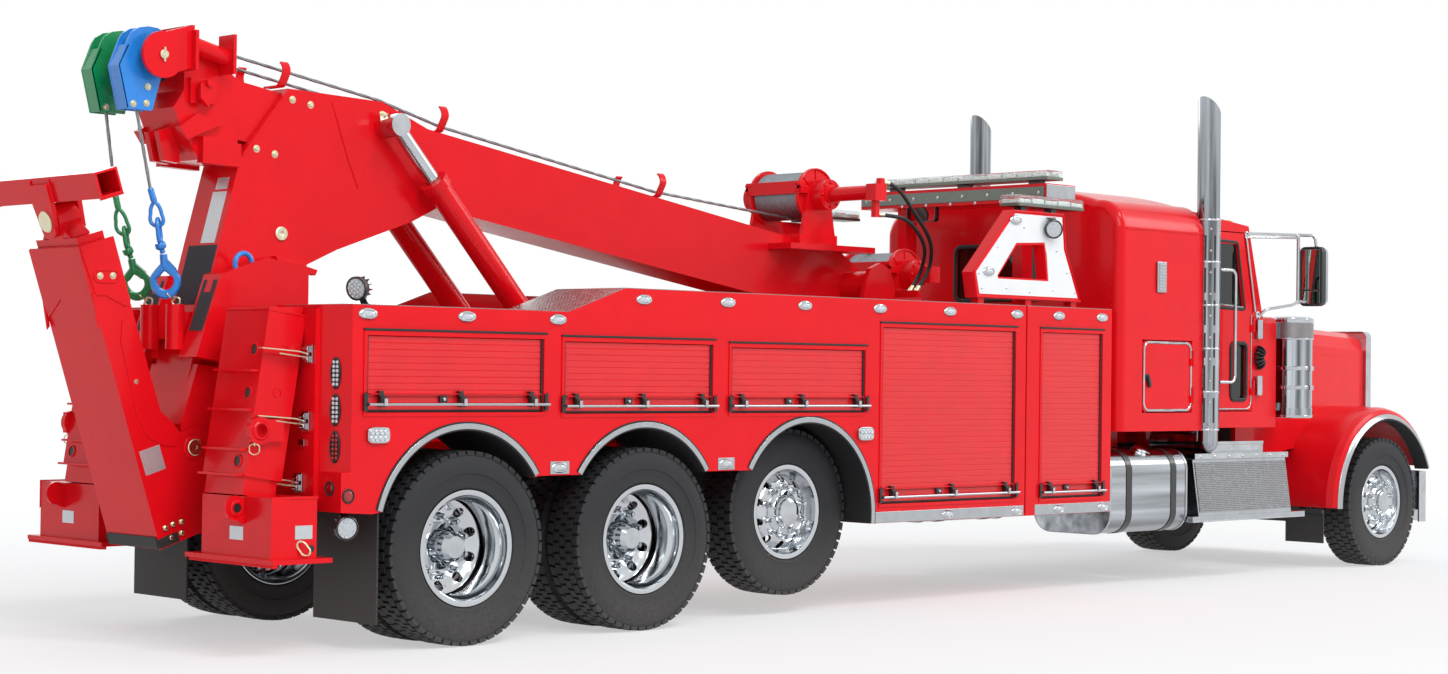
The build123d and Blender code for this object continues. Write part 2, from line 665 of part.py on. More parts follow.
with BuildPart() as cab_interior:
    floor = cab_bottom + cab_wall
    for side in (-1, 1):
        y = sorted((side * 250, side * 780))
        block((ahead(7330), ahead(7800)), y, (floor, 1620))
        block((ahead(7330), ahead(7450)), y, (1620, 2280))
    block((ahead(8180), ahead(cab_front - cab_wall)), (-cab_half + cab_wall, cab_half - cab_wall),
          (1600, 1980))
    wheel_plane = Plane(origin=(ahead(7950), 500, 1930), z_dir=(-0.75, 0, 0.66))
    with BuildSketch(wheel_plane):
        Circle(230)
        Circle(200, mode=Mode.SUBTRACT)
        Rectangle(420, 40)
    extrude(amount=20)
    with BuildSketch(wheel_plane):
        Circle(35)
    extrude(amount=-330)
    # the flexible boot between sleeper and cab
    boot = (ahead(sleeper_front + soft_gap), ahead(cab_rear - soft_gap))
    block(boot, (-walk_half - 40, walk_half + 40), (walk_bottom - 40, walk_top + 40))
    block(boot, (-walk_half, walk_half), (walk_bottom, walk_top), mode=Mode.SUBTRACT)
finish(cab_interior, "cab_interior")

# ---- hood, grille, headlamps --------------------------------------------------------------------
hood_rear, hood_front = 8485.0, 10430.0
hood_skin = 10.0
hood_rear_half, hood_front_half = 790.0, 620.0
hood_rear_top, hood_front_top = 2035.0, 1965.0
hood_rear_bottom, hood_front_bottom = 900.0, 1130.0
fender_station, fender_z = 9840.0, 512.0
fender_inner_y, fender_outer_y = 600.0, 1200.0
fender_radius, lip_radius = 818.0, 722.0
fender_skin = 14.0
fender_rear_bottom, fender_front_bottom = 505.0, 820.0


def hood_section(half, top, bottom, trim):
    """The hood's cross-section: upright sides with rounded top corners."""
    with BuildLine() as outline:
        Polyline([
            (-half + trim, bottom), (-half + trim, top - 160), (-half + 40 + trim, top - 60 - trim),
            (-half + 140 + trim, top - 12 - trim), (0, top + 35 - trim),
            (half - 140 - trim, top - 12 - trim),
            (half - 40 - trim, top - 60 - trim), (half - trim, top - 160), (half - trim, bottom),
        ], close=True)
    make_face(outline.edges())


with BuildPart() as hood:
    for side in (-1, 1):
        crown = [
            (lip_radius, fender_outer_y), (lip_radius + 45, fender_outer_y),
            (fender_radius - 25, fender_outer_y - 20),
            (fender_radius - 6, fender_outer_y - 75), (fender_radius, fender_outer_y - 190),
            (fender_radius, fender_inner_y), (fender_radius - fender_skin, fender_inner_y),
            (fender_radius - fender_skin, fender_outer_y - 190), (fender_radius - 20, fender_outer_y - 82),
            (fender_radius - 38, fender_outer_y - 34), (lip_radius + 40, fender_outer_y - fender_skin),
            (lip_radius, fender_outer_y - fender_skin),
        ]
        spin(fender_station, fender_z, side, crown)
    below = (-fender_outer_y - 5, fender_outer_y + 5)
    side_plate([(8900, fender_rear_bottom), (10700, fender_rear_bottom), (10700, -400), (8900, -400)],
               below,
               mode=Mode.SUBTRACT)
    side_plate([(fender_station, fender_front_bottom), (10700, fender_front_bottom), (10700, -400),
                (fender_station, -400)], below, mode=Mode.SUBTRACT)
    for trim, mode in ((0.0, Mode.ADD), (hood_skin, Mode.SUBTRACT)):
        drop = 0 if trim == 0 else 5
        with BuildSketch(Plane.YZ.offset(ahead(hood_rear) - drop)):
            hood_section(hood_rear_half, hood_rear_top, hood_rear_bottom - drop, trim)
        with BuildSketch(Plane.YZ.offset(ahead(hood_front) + drop)):
            hood_section(hood_front_half, hood_front_top, hood_front_bottom - drop, trim)
        loft(mode=mode)
    wheel_space = (-fender_outer_y + fender_skin, fender_outer_y - fender_skin)
    side_disc(fender_station, fender_z, fender_radius - fender_skin - 24, wheel_space, mode=Mode.SUBTRACT)
finish(hood, "hood")

grille_bottom, grille_top = 780.0, 1975.0
grille_half, grille_low_half = 650.0, 585.0
grille_shoulder = 1100.0        # the grille narrows below this height, between the fenders
grille_rim = 65.0
grille_rear = hood_front + soft_gap
with BuildPart() as grille:
    with BuildSketch(Plane.YZ.offset(ahead(grille_rear))):
        for half, low, high in ((grille_half, grille_shoulder, grille_top),
                                (grille_low_half, grille_bottom, grille_shoulder + 2 * grille_rim)):
            with Locations((0, (low + high) / 2)):
                RectangleRounded(2 * half, high - low, 55)
        for half, low, high in ((grille_half, grille_shoulder, grille_top),
                                (grille_low_half, grille_bottom, grille_shoulder + 3 * grille_rim)):
            with Locations((0, (low + high) / 2)):
                RectangleRounded(2 * (half - grille_rim), high - low - 2 * grille_rim, 35, mode=Mode.SUBTRACT)
    extrude(amount=80)
    bar_count = 16
    for index in range(bar_count):
        y = (index + 0.5 - bar_count / 2) * 2 * (grille_half - grille_rim) / bar_count
        low = grille_bottom if abs(y) < grille_low_half - grille_rim else grille_shoulder
        block((ahead(grille_rear + 20), ahead(grille_rear + 50)), (y - 9, y + 9),
              (low + grille_rim - 5, grille_top - grille_rim + 5))
    for side in (-1, 1):
        y = sorted((side * (hood_hinge_y - 40), side * hood_hinge_y))
        block((ahead(grille_rear + 60), ahead(hood_hinge_station)), y,
              (hood_hinge_z - 15, hood_hinge_z + 15))
        side_disc(hood_hinge_station, hood_hinge_z, hinge_boss_radius, y)
finish(grille, "grille")

headlamp_y, headlamp_z = 812.0, 1130.0
headlamp_width, headlamp_height = 300.0, 140.0
with BuildPart() as headlamps:
    for side in (-1, 1):
        with BuildSketch(Plane.YZ.offset(ahead(10470))):
            with Locations((side * headlamp_y, headlamp_z)):
                RectangleRounded(headlamp_width, headlamp_height, 40)
        extrude(amount=130)
        y = sorted((side * (grille_half + 0.5), side * (headlamp_y - headlamp_width / 2 + 30)))
        block((ahead(10475), ahead(10505)), y, (headlamp_z - 25, headlamp_z + 25))
finish(headlamps, "headlamps")

# ---- air cleaners, stacks, mirrors --------------------------------------------------------------
cleaner_station, cleaner_y, cleaner_radius = 8690.0, 1005.0, 165.0
cleaner_bottom, cleaner_top = 1240.0, 2040.0
with BuildPart() as air_cleaners:
    for side in (-1, 1):
        with Locations((ahead(cleaner_station), side * cleaner_y, (cleaner_bottom + cleaner_top) / 2)):
            Cylinder(cleaner_radius, cleaner_top - cleaner_bottom)
        for z, height in ((cleaner_top - 45, 90), (cleaner_bottom + 40, 80), (1640, 30)):
            with Locations((ahead(cleaner_station), side * cleaner_y, z)):
                Cylinder(cleaner_radius + 6, height)
        duct = sorted((side * 850, side * 990))
        block((ahead(cab_front + 0.5), ahead(cleaner_station - 60)), duct, (1880, 2010))
        block((ahead(cab_front + 0.5), ahead(cleaner_station - 60)), duct, (1300, 1360))
finish(air_cleaners, "air_cleaners")

stack_station, stack_y, stack_radius = 7310.0, 1130.0, 88.0
stack_bottom, stack_top = 1066.0, 3720.0
guard_radius, guard_bottom, guard_top = 94.0, 1149.0, 2772.0
with BuildPart() as exhaust_stacks:
    for side in (-1, 1):
        with Locations((ahead(stack_station), side * stack_y, (stack_bottom + stack_top) / 2)):
            Cylinder(stack_radius, stack_top - stack_bottom)
        with Locations((ahead(stack_station), side * stack_y, stack_bottom)):
            Sphere(stack_radius)
        with Locations((ahead(stack_station), side * stack_y, (guard_bottom + guard_top) / 2)):
            Cylinder(guard_radius, guard_top - guard_bottom)
        bar((stack_station, side * stack_y, stack_bottom), (stack_station - 90, side * 700, 1066), 75)
        y = sorted((side * 1050, side * 1120))
        for z in (1500, 2300):
            block((ahead(sleeper_front + soft_gap), ahead(stack_station)), y, (z, z + 50))
        cut = Plane(origin=(ahead(stack_station), side * stack_y, stack_top - 95), z_dir=(0.7, 0, 0.7))
        with BuildSketch(cut):
            Rectangle(400, 400)
        extrude(amount=200, mode=Mode.SUBTRACT)
finish(exhaust_stacks, "exhaust_stacks")

mirror_low, mirror_high = 2136.0, 2610.0
with BuildPart() as mirrors:
    for side in (-1, 1):
        with BuildSketch(Plane.YZ.offset(ahead(8490))) as back:
            with Locations((side * 1300, (mirror_low + mirror_high) / 2)):
                RectangleRounded(210, mirror_high - mirror_low, 45)
        extrude(back.sketch, amount=60)
        with BuildSketch(Plane.YZ.offset(ahead(8550))) as shell:
            with Locations((side * 1300, (mirror_low + mirror_high) / 2)):
                RectangleRounded(210, mirror_high - mirror_low, 45)
        extrude(shell.sketch, amount=85, taper=22)
        for root_station, z in ((8030.0, 2690.0), (8195.0, 2110.0)):
            foot = sorted((side * (cab_half + soft_gap), side * (cab_half + 25)))
            block((ahead(root_station - 25), ahead(root_station + 25)), foot, (z - 25, z + 25))
            bar((root_station, side * (cab_half + 18), z), (8425, side * 1225, z), 14)
        bar((8425, side * 1225, 2704), (8425, side * 1225, 2096), 14)
        for z in (mirror_low + 60, mirror_high - 60):
            bar((8425, side * 1225, z), (8510, side * 1250, z), 12)
finish(mirrors, "mirrors")

# ---- locker bodies ------------------------------------------------------------------------------
# columns: station and height of each wheel arch's centre
arches = ((-50.0, 617.0), (1310.0, 617.0), (2735.0, 640.0))
# columns: rear station, front station, bottom, top of each shutter opening
shutter_openings = (
    (-742.0, 508.0, 1310.0, 1727.0),
    (667.0, 1868.0, 1300.0, 1718.0),
    (2030.0, 3260.0, 1300.0, 1705.0),
    (3430.0, 4820.0, 700.0, 1860.0),
    (5120.0, 5820.0, 690.0, 1860.0),
)
corner_inner_y, corner_length, corner_bottom = 1040.0, 62.0, 990.0      # slanted panel for the rear lamps
rear_module = [
    (body_rear, 775), (body_rear, rear_deck_top), (700, rear_deck_top), (1140, deck_top),
    (body_split - body_gap / 2, deck_top), (body_split - body_gap / 2, skirt_bottom), (3300, skirt_bottom),
    (3300, wheel_bay_bottom), (500, wheel_bay_bottom), (-690, 762),
]
front_module = [
    (body_split + body_gap / 2, skirt_bottom), (body_split + body_gap / 2, deck_top),
    (body_front, deck_top),
    (body_front, skirt_bottom),
]
with BuildPart() as body_right:
    side = (-body_half_width, -locker_inner_y)
    side_plate(rear_module, side)
    side_plate(front_module, side)
    for station, arch_z in arches:
        side_disc(station, arch_z, arch_radius, (side[0] - 5, side[1] + 5), mode=Mode.SUBTRACT)
    for rear, front, low, high in shutter_openings:
        block((ahead(rear), ahead(front)), (side[0] - 5, side[1] - sheet), (low, high), mode=Mode.SUBTRACT)
    with BuildSketch(Plane.XY.offset(corner_bottom)) as corner:
        with BuildLine():
            Polyline([(ahead(body_rear), -corner_inner_y),
                      (ahead(body_rear + corner_length), -body_half_width - 1),
                      (ahead(body_rear) - 1, -body_half_width - 1),
                      (ahead(body_rear) - 1, -corner_inner_y)],
                     close=True)
        make_face()
    extrude(corner.sketch, amount=deck_top, mode=Mode.SUBTRACT)
finish(body_right, "body_right")
finish(mirrored(body_right), "body_left")

shutter_inset = 22.0
shutter_thick = 16.0
with BuildPart() as shutters:
    for side in (-1, 1):
        outer = side * (body_half_width - shutter_inset)
        y = sorted((outer, outer - side * shutter_thick))
        for rear, front, low, high in shutter_openings:
            block((ahead(rear + soft_gap), ahead(front - soft_gap)), y, (low + soft_gap, high - soft_gap))
finish(shutters, "shutters")

# ---- centre frame, turret, tail frame -----------------------------------------------------------
platform_z = 1980.0
# columns: name, station and height of the drum's axis, seat height, length of the hydraulic motor
winches = (("upper", 3850.0, 2790.0, 2495.0, 465.0), ("lower", 4800.0, 2270.0, platform_z, 145.0))
drum_half = 230.0
flange_radius = 190.0
drum_shaft_radius = 32.0
gear_radius, gear_length = 105.0, 110.0
motor_radius, motor_block = 50.0, 90.0


def winch_sides(winch):
    """The side plates of a winch: stub shafts, gear housings and, on the right, the hydraulic motor."""
    station, z, seat, motor_length = winch[1:]
    plate_outer = drum_half + 35
    for side in (-1, 1):
        y = sorted((side * plate_outer, side * (drum_half + 5)))
        side_plate(
            [(station - 170, seat), (station - 100, z + 60), (station + 100, z + 60),
             (station + 170, seat)], y,
        )
        side_disc(station, z, drum_shaft_radius, sorted((side * plate_outer, side * (drum_half - 60))))
        side_disc(station, z, gear_radius, sorted((side * (plate_outer + gear_length), side * plate_outer)))
    motor_end = plate_outer + gear_length + motor_length
    side_disc(station, z, motor_radius, (-motor_end, -plate_outer))
    block((ahead(station - 55), ahead(station + 55)), (-motor_end, -motor_end + motor_block),
          (z - 60, z + 55))


turret_half = 430.0
turret_plate = 40.0
barrel_foot_station, barrel_foot_z = 1750.0, 1230.0
pin_radius = 40.0
with BuildPart() as centre_frame:
    block((ahead(-560), ahead(5900)), (-420, 420), (rail_top, rail_top + 20))
    for side in (-1, 1):
        beam = sorted((side * 330, side * 420))
        block((ahead(-560), ahead(5900)), beam, (rail_top, rail_top + 120))
        y = sorted((side * turret_half, side * (turret_half + turret_plate)))
        side_plate([(3900, 1110), (4120, 2190), (4170, 2290), (4270, 2330), (4370, 2290), (4420, 2190),
                    (4520, 1110)], y)
        block((ahead(3900), ahead(4520)), sorted((side * 420, side * (turret_half + turret_plate))),
              (rail_top + 20, 1120))
        wall = sorted((side * locker_inner_y, side * (locker_inner_y - 10)))
        side_plate([(body_rear + 20, 1260), (body_rear + 20, rear_deck_top), (700, rear_deck_top),
                    (1140, deck_top), (5900, deck_top), (5900, 1100), (1000, 1100), (1000, 1260)], wall)
        foot = sorted((side * 420, side * (locker_inner_y - 5)))
        for station in (1650, 3700, 5500):
            block((ahead(station), ahead(station + 80)), foot, (rail_top + 20, rail_top + 110))
        for inner in (185, 395):
            lug = sorted((side * inner, side * (inner + 25)))
            side_plate([(1600, rail_top), (1660, 1290), (1840, 1290), (1960, rail_top)], lug)
        side_disc(barrel_foot_station, barrel_foot_z, pin_radius, sorted((side * 190, side * 415)))
    block((ahead(4560), ahead(5900)), (-(locker_inner_y - 5), locker_inner_y - 5),
          (platform_z - 30, platform_z))
    side_disc(boom_pivot_station, boom_pivot_z, 50, (-turret_half, turret_half))
    winch_sides(winches[1])
finish(centre_frame, "centre_frame")

# outrigger legs slide inside leaning boxes at the tail
leg_centre_y = 730.0
leg_box_half_y, leg_box_half_x = 200.0, 120.0
leg_wall = 14.0
leg_top_z, leg_bottom_z = 1850.0, 950.0
leg_top_station = -1040.0
leg_dir = (-sin(radians(leg_lean)), 0, -cos(radians(leg_lean)))


def leg_plane(side, below_top):
    """A plane square to a leg, at a distance down the leg from the top of its box."""
    origin = (
        ahead(leg_top_station) + leg_dir[0] * below_top, side * leg_centre_y,
        leg_top_z + leg_dir[2] * below_top,
    )
    return Plane(origin=origin, x_dir=(cos(radians(leg_lean)), 0, -sin(radians(leg_lean))), z_dir=leg_dir)


leg_half_x = leg_box_half_x - leg_wall - slide_fit
leg_half_y = leg_box_half_y - leg_wall - slide_fit
leg_box_length = (leg_top_z - leg_bottom_z) / cos(radians(leg_lean))
rib_heights = (1530.0, 1320.0, 1110.0, 975.0)
with BuildPart() as tail_frame:
    for side in (-1, 1):
        wall = sorted((side * 410, side * (corner_inner_y - 5)))
        block((ahead(body_rear - 32), ahead(body_rear - soft_gap)), wall, (830, rear_deck_top - 20))
    for side in (-1, 1):
        with BuildSketch(leg_plane(side, 0)):
            Rectangle(2 * leg_box_half_x, 2 * leg_box_half_y)
            Rectangle(2 * (leg_box_half_x - leg_wall), 2 * (leg_box_half_y - leg_wall), mode=Mode.SUBTRACT)
        extrude(amount=leg_box_length)
        with BuildSketch(leg_plane(side, leg_box_length - 90)):
            Rectangle(2 * (leg_box_half_x - 1), 2 * (leg_box_half_y - 1))
            Rectangle(2 * (leg_half_x + pin_fit), 2 * (leg_half_y + pin_fit), mode=Mode.SUBTRACT)
        extrude(amount=70)
        arm_y = sorted((side * 400, side * 600))
        block((ahead(body_rear - 2), ahead(-570)), arm_y, (rail_top + soft_gap, rail_top + 100))
        # ribs across the rear face of the box and the towing eye between them
        rear_face = leg_box_half_x / cos(radians(leg_lean))
        for z in rib_heights:
            middle = leg_top_station - tan(radians(leg_lean)) * (leg_top_z - z)
            ribs = sorted((side * (leg_centre_y - leg_box_half_y + 20),
                           side * (leg_centre_y + leg_box_half_y - 15)))
            block((ahead(middle - rear_face - 45), ahead(middle - rear_face + 4)), ribs, (z - 6, z + 6))
        eye_y = sorted((side * (leg_centre_y + leg_box_half_y - 2),
                        side * (leg_centre_y + leg_box_half_y + 36)))
        side_plate([(-1285, 1150), (-1285, 1270), (-1080, 1270), (-1080, 1150)], eye_y)
        side_disc(-1225, 1210, 74, eye_y)
        side_disc(-1225, 1210, 36, (eye_y[0] - 1, eye_y[1] + 1), mode=Mode.SUBTRACT)
finish(tail_frame, "tail_frame")

for side_name, side in sides:
    with BuildPart() as outrigger:
        with BuildSketch(leg_plane(side, 40)):
            Rectangle(2 * leg_half_x, 2 * leg_half_y)
            Rectangle(2 * (leg_half_x - 16), 2 * (leg_half_y - 16), mode=Mode.SUBTRACT)
        extrude(amount=leg_box_length + 60)
        y = sorted((side * 530, side * 1180))
        block((ahead(-1300), ahead(-1010)), y, (540, 860))
        y = sorted((side * 430, side * 1255))
        block((ahead(-1340), ahead(-960)), y, (515, 540))
    finish(outrigger, f"outrigger_{side_name}")

# ---- boom ---------------------------------------------------------------------------------------
slope = tan(radians(boom_slope))


def boom_top(station):
    return 2909.0 - slope * (station - 1018.0)


def boom_bottom(station):
    return 2452.0 - slope * (station - 1018.0)


boom_outline = [
    (4170, boom_top(4170)), (478, boom_top(478)), (132, 3130), (-539, 3150), (-851, 2746), (-988, 2237),
    (-1086, 1864), (-1195, 1400), (-1250, 1230), (-1250, 1050), (-1190, 970), (-760, 970), (-700, 1250),
    (-489, 1880), (-389, 2143), (-179, 2238), (367, 2430), (560, boom_bottom(560)),
    (4200, boom_bottom(4200)),
    (4330, 1975), (4410, 2080), (4420, 2200), (4370, 2290), (4290, 2340),
]
bore_depth_top, bore_depth_bottom = 35.0, 375.0
tube_inner = boom_half_width - boom_side_wall


def boom_strip(start, end, from_top, to_top):
    """A strip along the boom between two depths below its top line."""
    return [
        (start, boom_top(start) - from_top), (end, boom_top(end) - from_top),
        (end, boom_top(end) - to_top), (start, boom_top(start) - to_top),
    ]


rod_pin_station, rod_pin_z = 145.0, 2985.0
pot_station, pot_ys, pot_top = -1235.0, (-130.0, 130.0), 1890.0

with BuildPart() as boom:
    side_plate(boom_outline, (-boom_half_width, boom_half_width))
    side_plate(boom_strip(-1300, 3250, bore_depth_top, bore_depth_bottom), (-tube_inner, tube_inner),
               mode=Mode.SUBTRACT)
    side_plate(boom_strip(-300, -200, bore_depth_top - 1, bore_depth_bottom + 1),
               (-tube_inner - 1, tube_inner + 1))
    side_plate(
        boom_strip(-305, -195, bore_depth_top + slide_fit - pin_fit,
                   bore_depth_bottom - slide_fit + pin_fit),
        (-boom_extension_half_width - pin_fit, boom_extension_half_width + pin_fit), mode=Mode.SUBTRACT,
    )
    for side in (-1, 1):
        side_disc(boom_pivot_station, boom_pivot_z, 110, sorted((side * boom_half_width, side * 420)))
        side_disc(rod_pin_station, rod_pin_z, 70, sorted((side * boom_half_width, side * 228)))
        base = sorted((side * boom_half_width, side * 400))
        block((ahead(3430), ahead(4290)), base, (2400, 2440))
        pocket = sorted((side * boom_half_width, side * 355))
        side_plate([(-1085, 2060), (-1240, 1600), (-960, 1560), (-500, 1900), (-500, 2110), (-775, 2165)],
                   pocket)
        cheek = sorted((side * boom_half_width, side * 235))
        side_plate([(-1150, 1560), (-1250, 1230), (-1250, 1050), (-1190, 970), (-760, 970), (-640, 1500)],
                   cheek)
    side_disc(boom_pivot_station, boom_pivot_z, 50 + pin_fit, (-430, 430), mode=Mode.SUBTRACT)
    side_disc(fold_station, fold_z, 45 + pin_fit, (-300, 300), mode=Mode.SUBTRACT)
    for y_pot in pot_ys:
        with Locations((ahead(pot_station), y_pot, pot_top - 125)):
            Cylinder(52, 250)
        side_plate([(pot_station, 1700), (pot_station, 1850), (-1070, 1850), (-1105, 1700)],
                   (y_pot - 8, y_pot + 8))
    winch_seat = winches[0][3]
    block((ahead(3660), ahead(4040)), (-drum_half - 35, drum_half + 35), (2440, winch_seat + 20))
    winch_sides(winches[0])
    # port elbows of the upper motor
    port_y = (-800, -760)
    block((ahead(3840), ahead(3880)), port_y, (2620, winches[0][2] - 50))
    block((ahead(3850), ahead(3890)), (-835, -795), (winches[0][2] + 40, 2885))
    # the rail ahead of the boom's foot, whose sloping face holds the lower ends of the winch hoses
    side_plate([(4400, 2120), (4400, 2200), (4515, 2146), (4515, 2096)], (-150, 150))
    side_plate([(4512, 2096), (4556, 2096), (4556, 2110), (4520, 2146), (4512, 2146)], (-605, -100))
finish(boom, "boom")

head_station, head_z = -1430.0, 3250.0
head_pin_radius = 28.0
head_flanges = ((-1255.0, -1235.0), (-1010.0, -990.0))
fork_thick = 22.0
fork_ys = (-274.0, 0.0, 274.0)
sheave_ys = (-140.0, 140.0)
sheave_radius, sheave_half = 150.0, 30.0
ext_top, ext_bottom = bore_depth_top + slide_fit, bore_depth_bottom - slide_fit
with BuildPart() as boom_extension:
    side_plate(
        [(2900, boom_top(2900) - ext_top), (-880, boom_top(-880) - ext_top),
         (-1095, boom_top(-1095) - ext_bottom),
         (2900, boom_top(2900) - ext_bottom)],
        (-boom_extension_half_width, boom_extension_half_width),
    )
    side_plate(
        [(2950, boom_top(2950) - ext_top - 20), (-700, boom_top(-700) - ext_top - 20),
         (-700, boom_top(-700) - ext_bottom + 20), (2950, boom_top(2950) - ext_bottom + 20)],
        (-boom_extension_half_width + 16, boom_extension_half_width - 16), mode=Mode.SUBTRACT,
    )
    side_plate(
        [(-860, 3150), (-1000, 3250), (-1235, 3340), (-1235, 3080), (-1300, 2980), (-1250, 2870),
         (-1130, 2700),
         (-930, 2690), (-880, 2800)], (-185, 185),
    )
    for start, end in head_flanges:
        for side in (-1, 1):
            y = sorted((side * 330, side * 180))
            side_plate([(start, 3180), (start, 3400), (end, 3400), (end, 3180)], y)
    for side in (-1, 1):
        bar((head_flanges[0][0] + 10, side * 250, 3335), (head_flanges[1][1] - 10, side * 250, 3275), 45)
        side_plate([(-1210, 3010), (-1210, 3150), (-1050, 3150), (-1050, 3010)],
                   sorted((side * 215, side * 180)))
        side_disc(-1130, 3120, 20, sorted((side * 290, side * 200)))
        side_plate([(-1180, 3120), (-1180, 3040), (-1130, 2990), (-1080, 3040), (-1080, 3120)],
                   sorted((side * 268, side * 236)))
        cheek = sorted((side * 240, side * 180))
        side_plate([(-1290, 2870), (-1240, 2800), (-1180, 2830), (-1000, 2910), (-1180, 2950)], cheek)
        side_plate([(-1140, 2680), (-1140, 2830), (-890, 2800), (-890, 2670)], cheek)
    for y in (-60.0, 45.0):
        side_plate([(-1330, 2850), (-1290, 2690), (-1190, 2680), (-1190, 2900)], (y - 22, y + 22))
    for y in fork_ys:
        side_plate([(-1440, 3130), (-1440, 3370), (head_flanges[0][0] + 1, 3428),
                    (head_flanges[0][0] + 1, 3190)],
                   (y - fork_thick / 2, y + fork_thick / 2))
        side_disc(head_station, head_z, 128, (y - fork_thick / 2, y + fork_thick / 2))
    block((ahead(head_flanges[0][0]), ahead(head_flanges[0][1])), (-285, 285), (3180, 3430))
    side_disc(head_station, head_z, head_pin_radius, (-290, 290))
finish(boom_extension, "boom_extension")

with BuildPart() as sheave_heads:
    for y in sheave_ys:
        side_disc(head_station, head_z, sheave_radius, (y - sheave_half, y + sheave_half))
        side_disc(head_station, head_z, 62, (y - 122, y + 122))
        for out in (-1, 1):
            plate = sorted((y + out * 42, y + out * 54))
            side_plate([(-1600, 3330), (-1660, 3180), (-1600, 2945), (-1440, 2945), (-1390, 3170),
                        (-1350, 3300)],
                       plate)
            side_disc(head_station, head_z, 70, sorted((y + out * 26, y + out * 50)))
        side_plate([(-1600, 3330), (-1660, 3180), (-1600, 2945), (-1580, 2950), (-1638, 3180),
                    (-1582, 3325)],
                   (y - 50, y + 50))
        side_disc(head_station, head_z, head_pin_radius + pin_fit, (y - 123, y + 123), mode=Mode.SUBTRACT)
finish(sheave_heads, "sheave_heads")

with BuildPart() as rope_hooks:
    for y in pot_ys:
        with Locations((ahead(pot_station - 20), y, pot_top + 80)):
            Torus(62, 17.7, rotation=(90, 0, 0))
        with Locations((ahead(pot_station - 20), y, pot_top + 290)):
            Cylinder(22, 300)
finish(rope_hooks, "rope_hooks")

# ---- lift cylinders -----------------------------------------------------------------------------
lift_length = hypot(barrel_foot_station - rod_pin_station, rod_pin_z - barrel_foot_z)
lift_dir = (
    (rod_pin_station - barrel_foot_station) / lift_length, 0, (rod_pin_z - barrel_foot_z) / lift_length,
)
barrel_radius, barrel_bore, rod_radius = 75.0, 60.0, 45.0
cylinder_y = 300.0
collar_from_pin = 420.0


def lift_plane(side, along):
    """A plane square to a lift cylinder, at a distance up from its foot pin."""
    origin = (
        ahead(barrel_foot_station) + lift_dir[0] * along, side * cylinder_y,
        barrel_foot_z + lift_dir[2] * along,
    )
    return Plane(origin=origin, z_dir=lift_dir)


barrel_length = lift_length - collar_from_pin
rod_foot = 340.0                # inner end of the rod, up from the foot pin, as parked
with BuildPart() as lift_barrels:
    for side in (-1, 1):
        with BuildSketch(lift_plane(side, 70)):
            Circle(barrel_radius)
        extrude(amount=barrel_length - 70)
        with BuildSketch(lift_plane(side, 130)):
            Circle(barrel_bore)
        extrude(amount=barrel_length, mode=Mode.SUBTRACT)
        with BuildSketch(lift_plane(side, barrel_length - 60)):
            Circle(barrel_radius + 12)
            Circle(rod_radius + pin_fit, mode=Mode.SUBTRACT)
        extrude(amount=60)
        y = sorted((side * (cylinder_y - 70), side * (cylinder_y + 70)))
        side_disc(barrel_foot_station, barrel_foot_z, 85, y)
        side_disc(barrel_foot_station, barrel_foot_z, pin_radius + pin_fit, y, mode=Mode.SUBTRACT)
finish(lift_barrels, "lift_barrels")

with BuildPart() as lift_rods:
    for side in (-1, 1):
        with BuildSketch(lift_plane(side, rod_foot)):
            Circle(rod_radius)
        extrude(amount=lift_length - rod_foot - 20)
        y = sorted((side * 235, side * (cylinder_y + 55)))
        side_disc(rod_pin_station, rod_pin_z, 68, y)
finish(lift_rods, "lift_rods")

# ---- underlift ----------------------------------------------------------------------------------
arm_dir = (-sin(radians(arm_lean)), 0, cos(radians(arm_lean)))
arm_half_width = 260.0
arm_plate = 18.0
arm_near, arm_far = 146.0, 358.0      # the arm's faces behind the fold pin, square to the arm


def arm_point(along, behind):
    """Station and height of a point given up the arm and behind its pivot."""
    return (
        fold_station + arm_dir[0] * along - cos(radians(arm_lean)) * behind,
        fold_z + arm_dir[2] * along - sin(radians(arm_lean)) * behind,
    )


def arm_face(behind):
    """A plane square to the arm's depth: first axis to the left, second up the arm, normal forward."""
    foot = arm_point(0.0, behind)
    lean = radians(arm_lean)
    return Plane(origin=(ahead(foot[0]), 0, foot[1]), x_dir=(0, 1, 0), z_dir=(cos(lean), 0, sin(lean)))


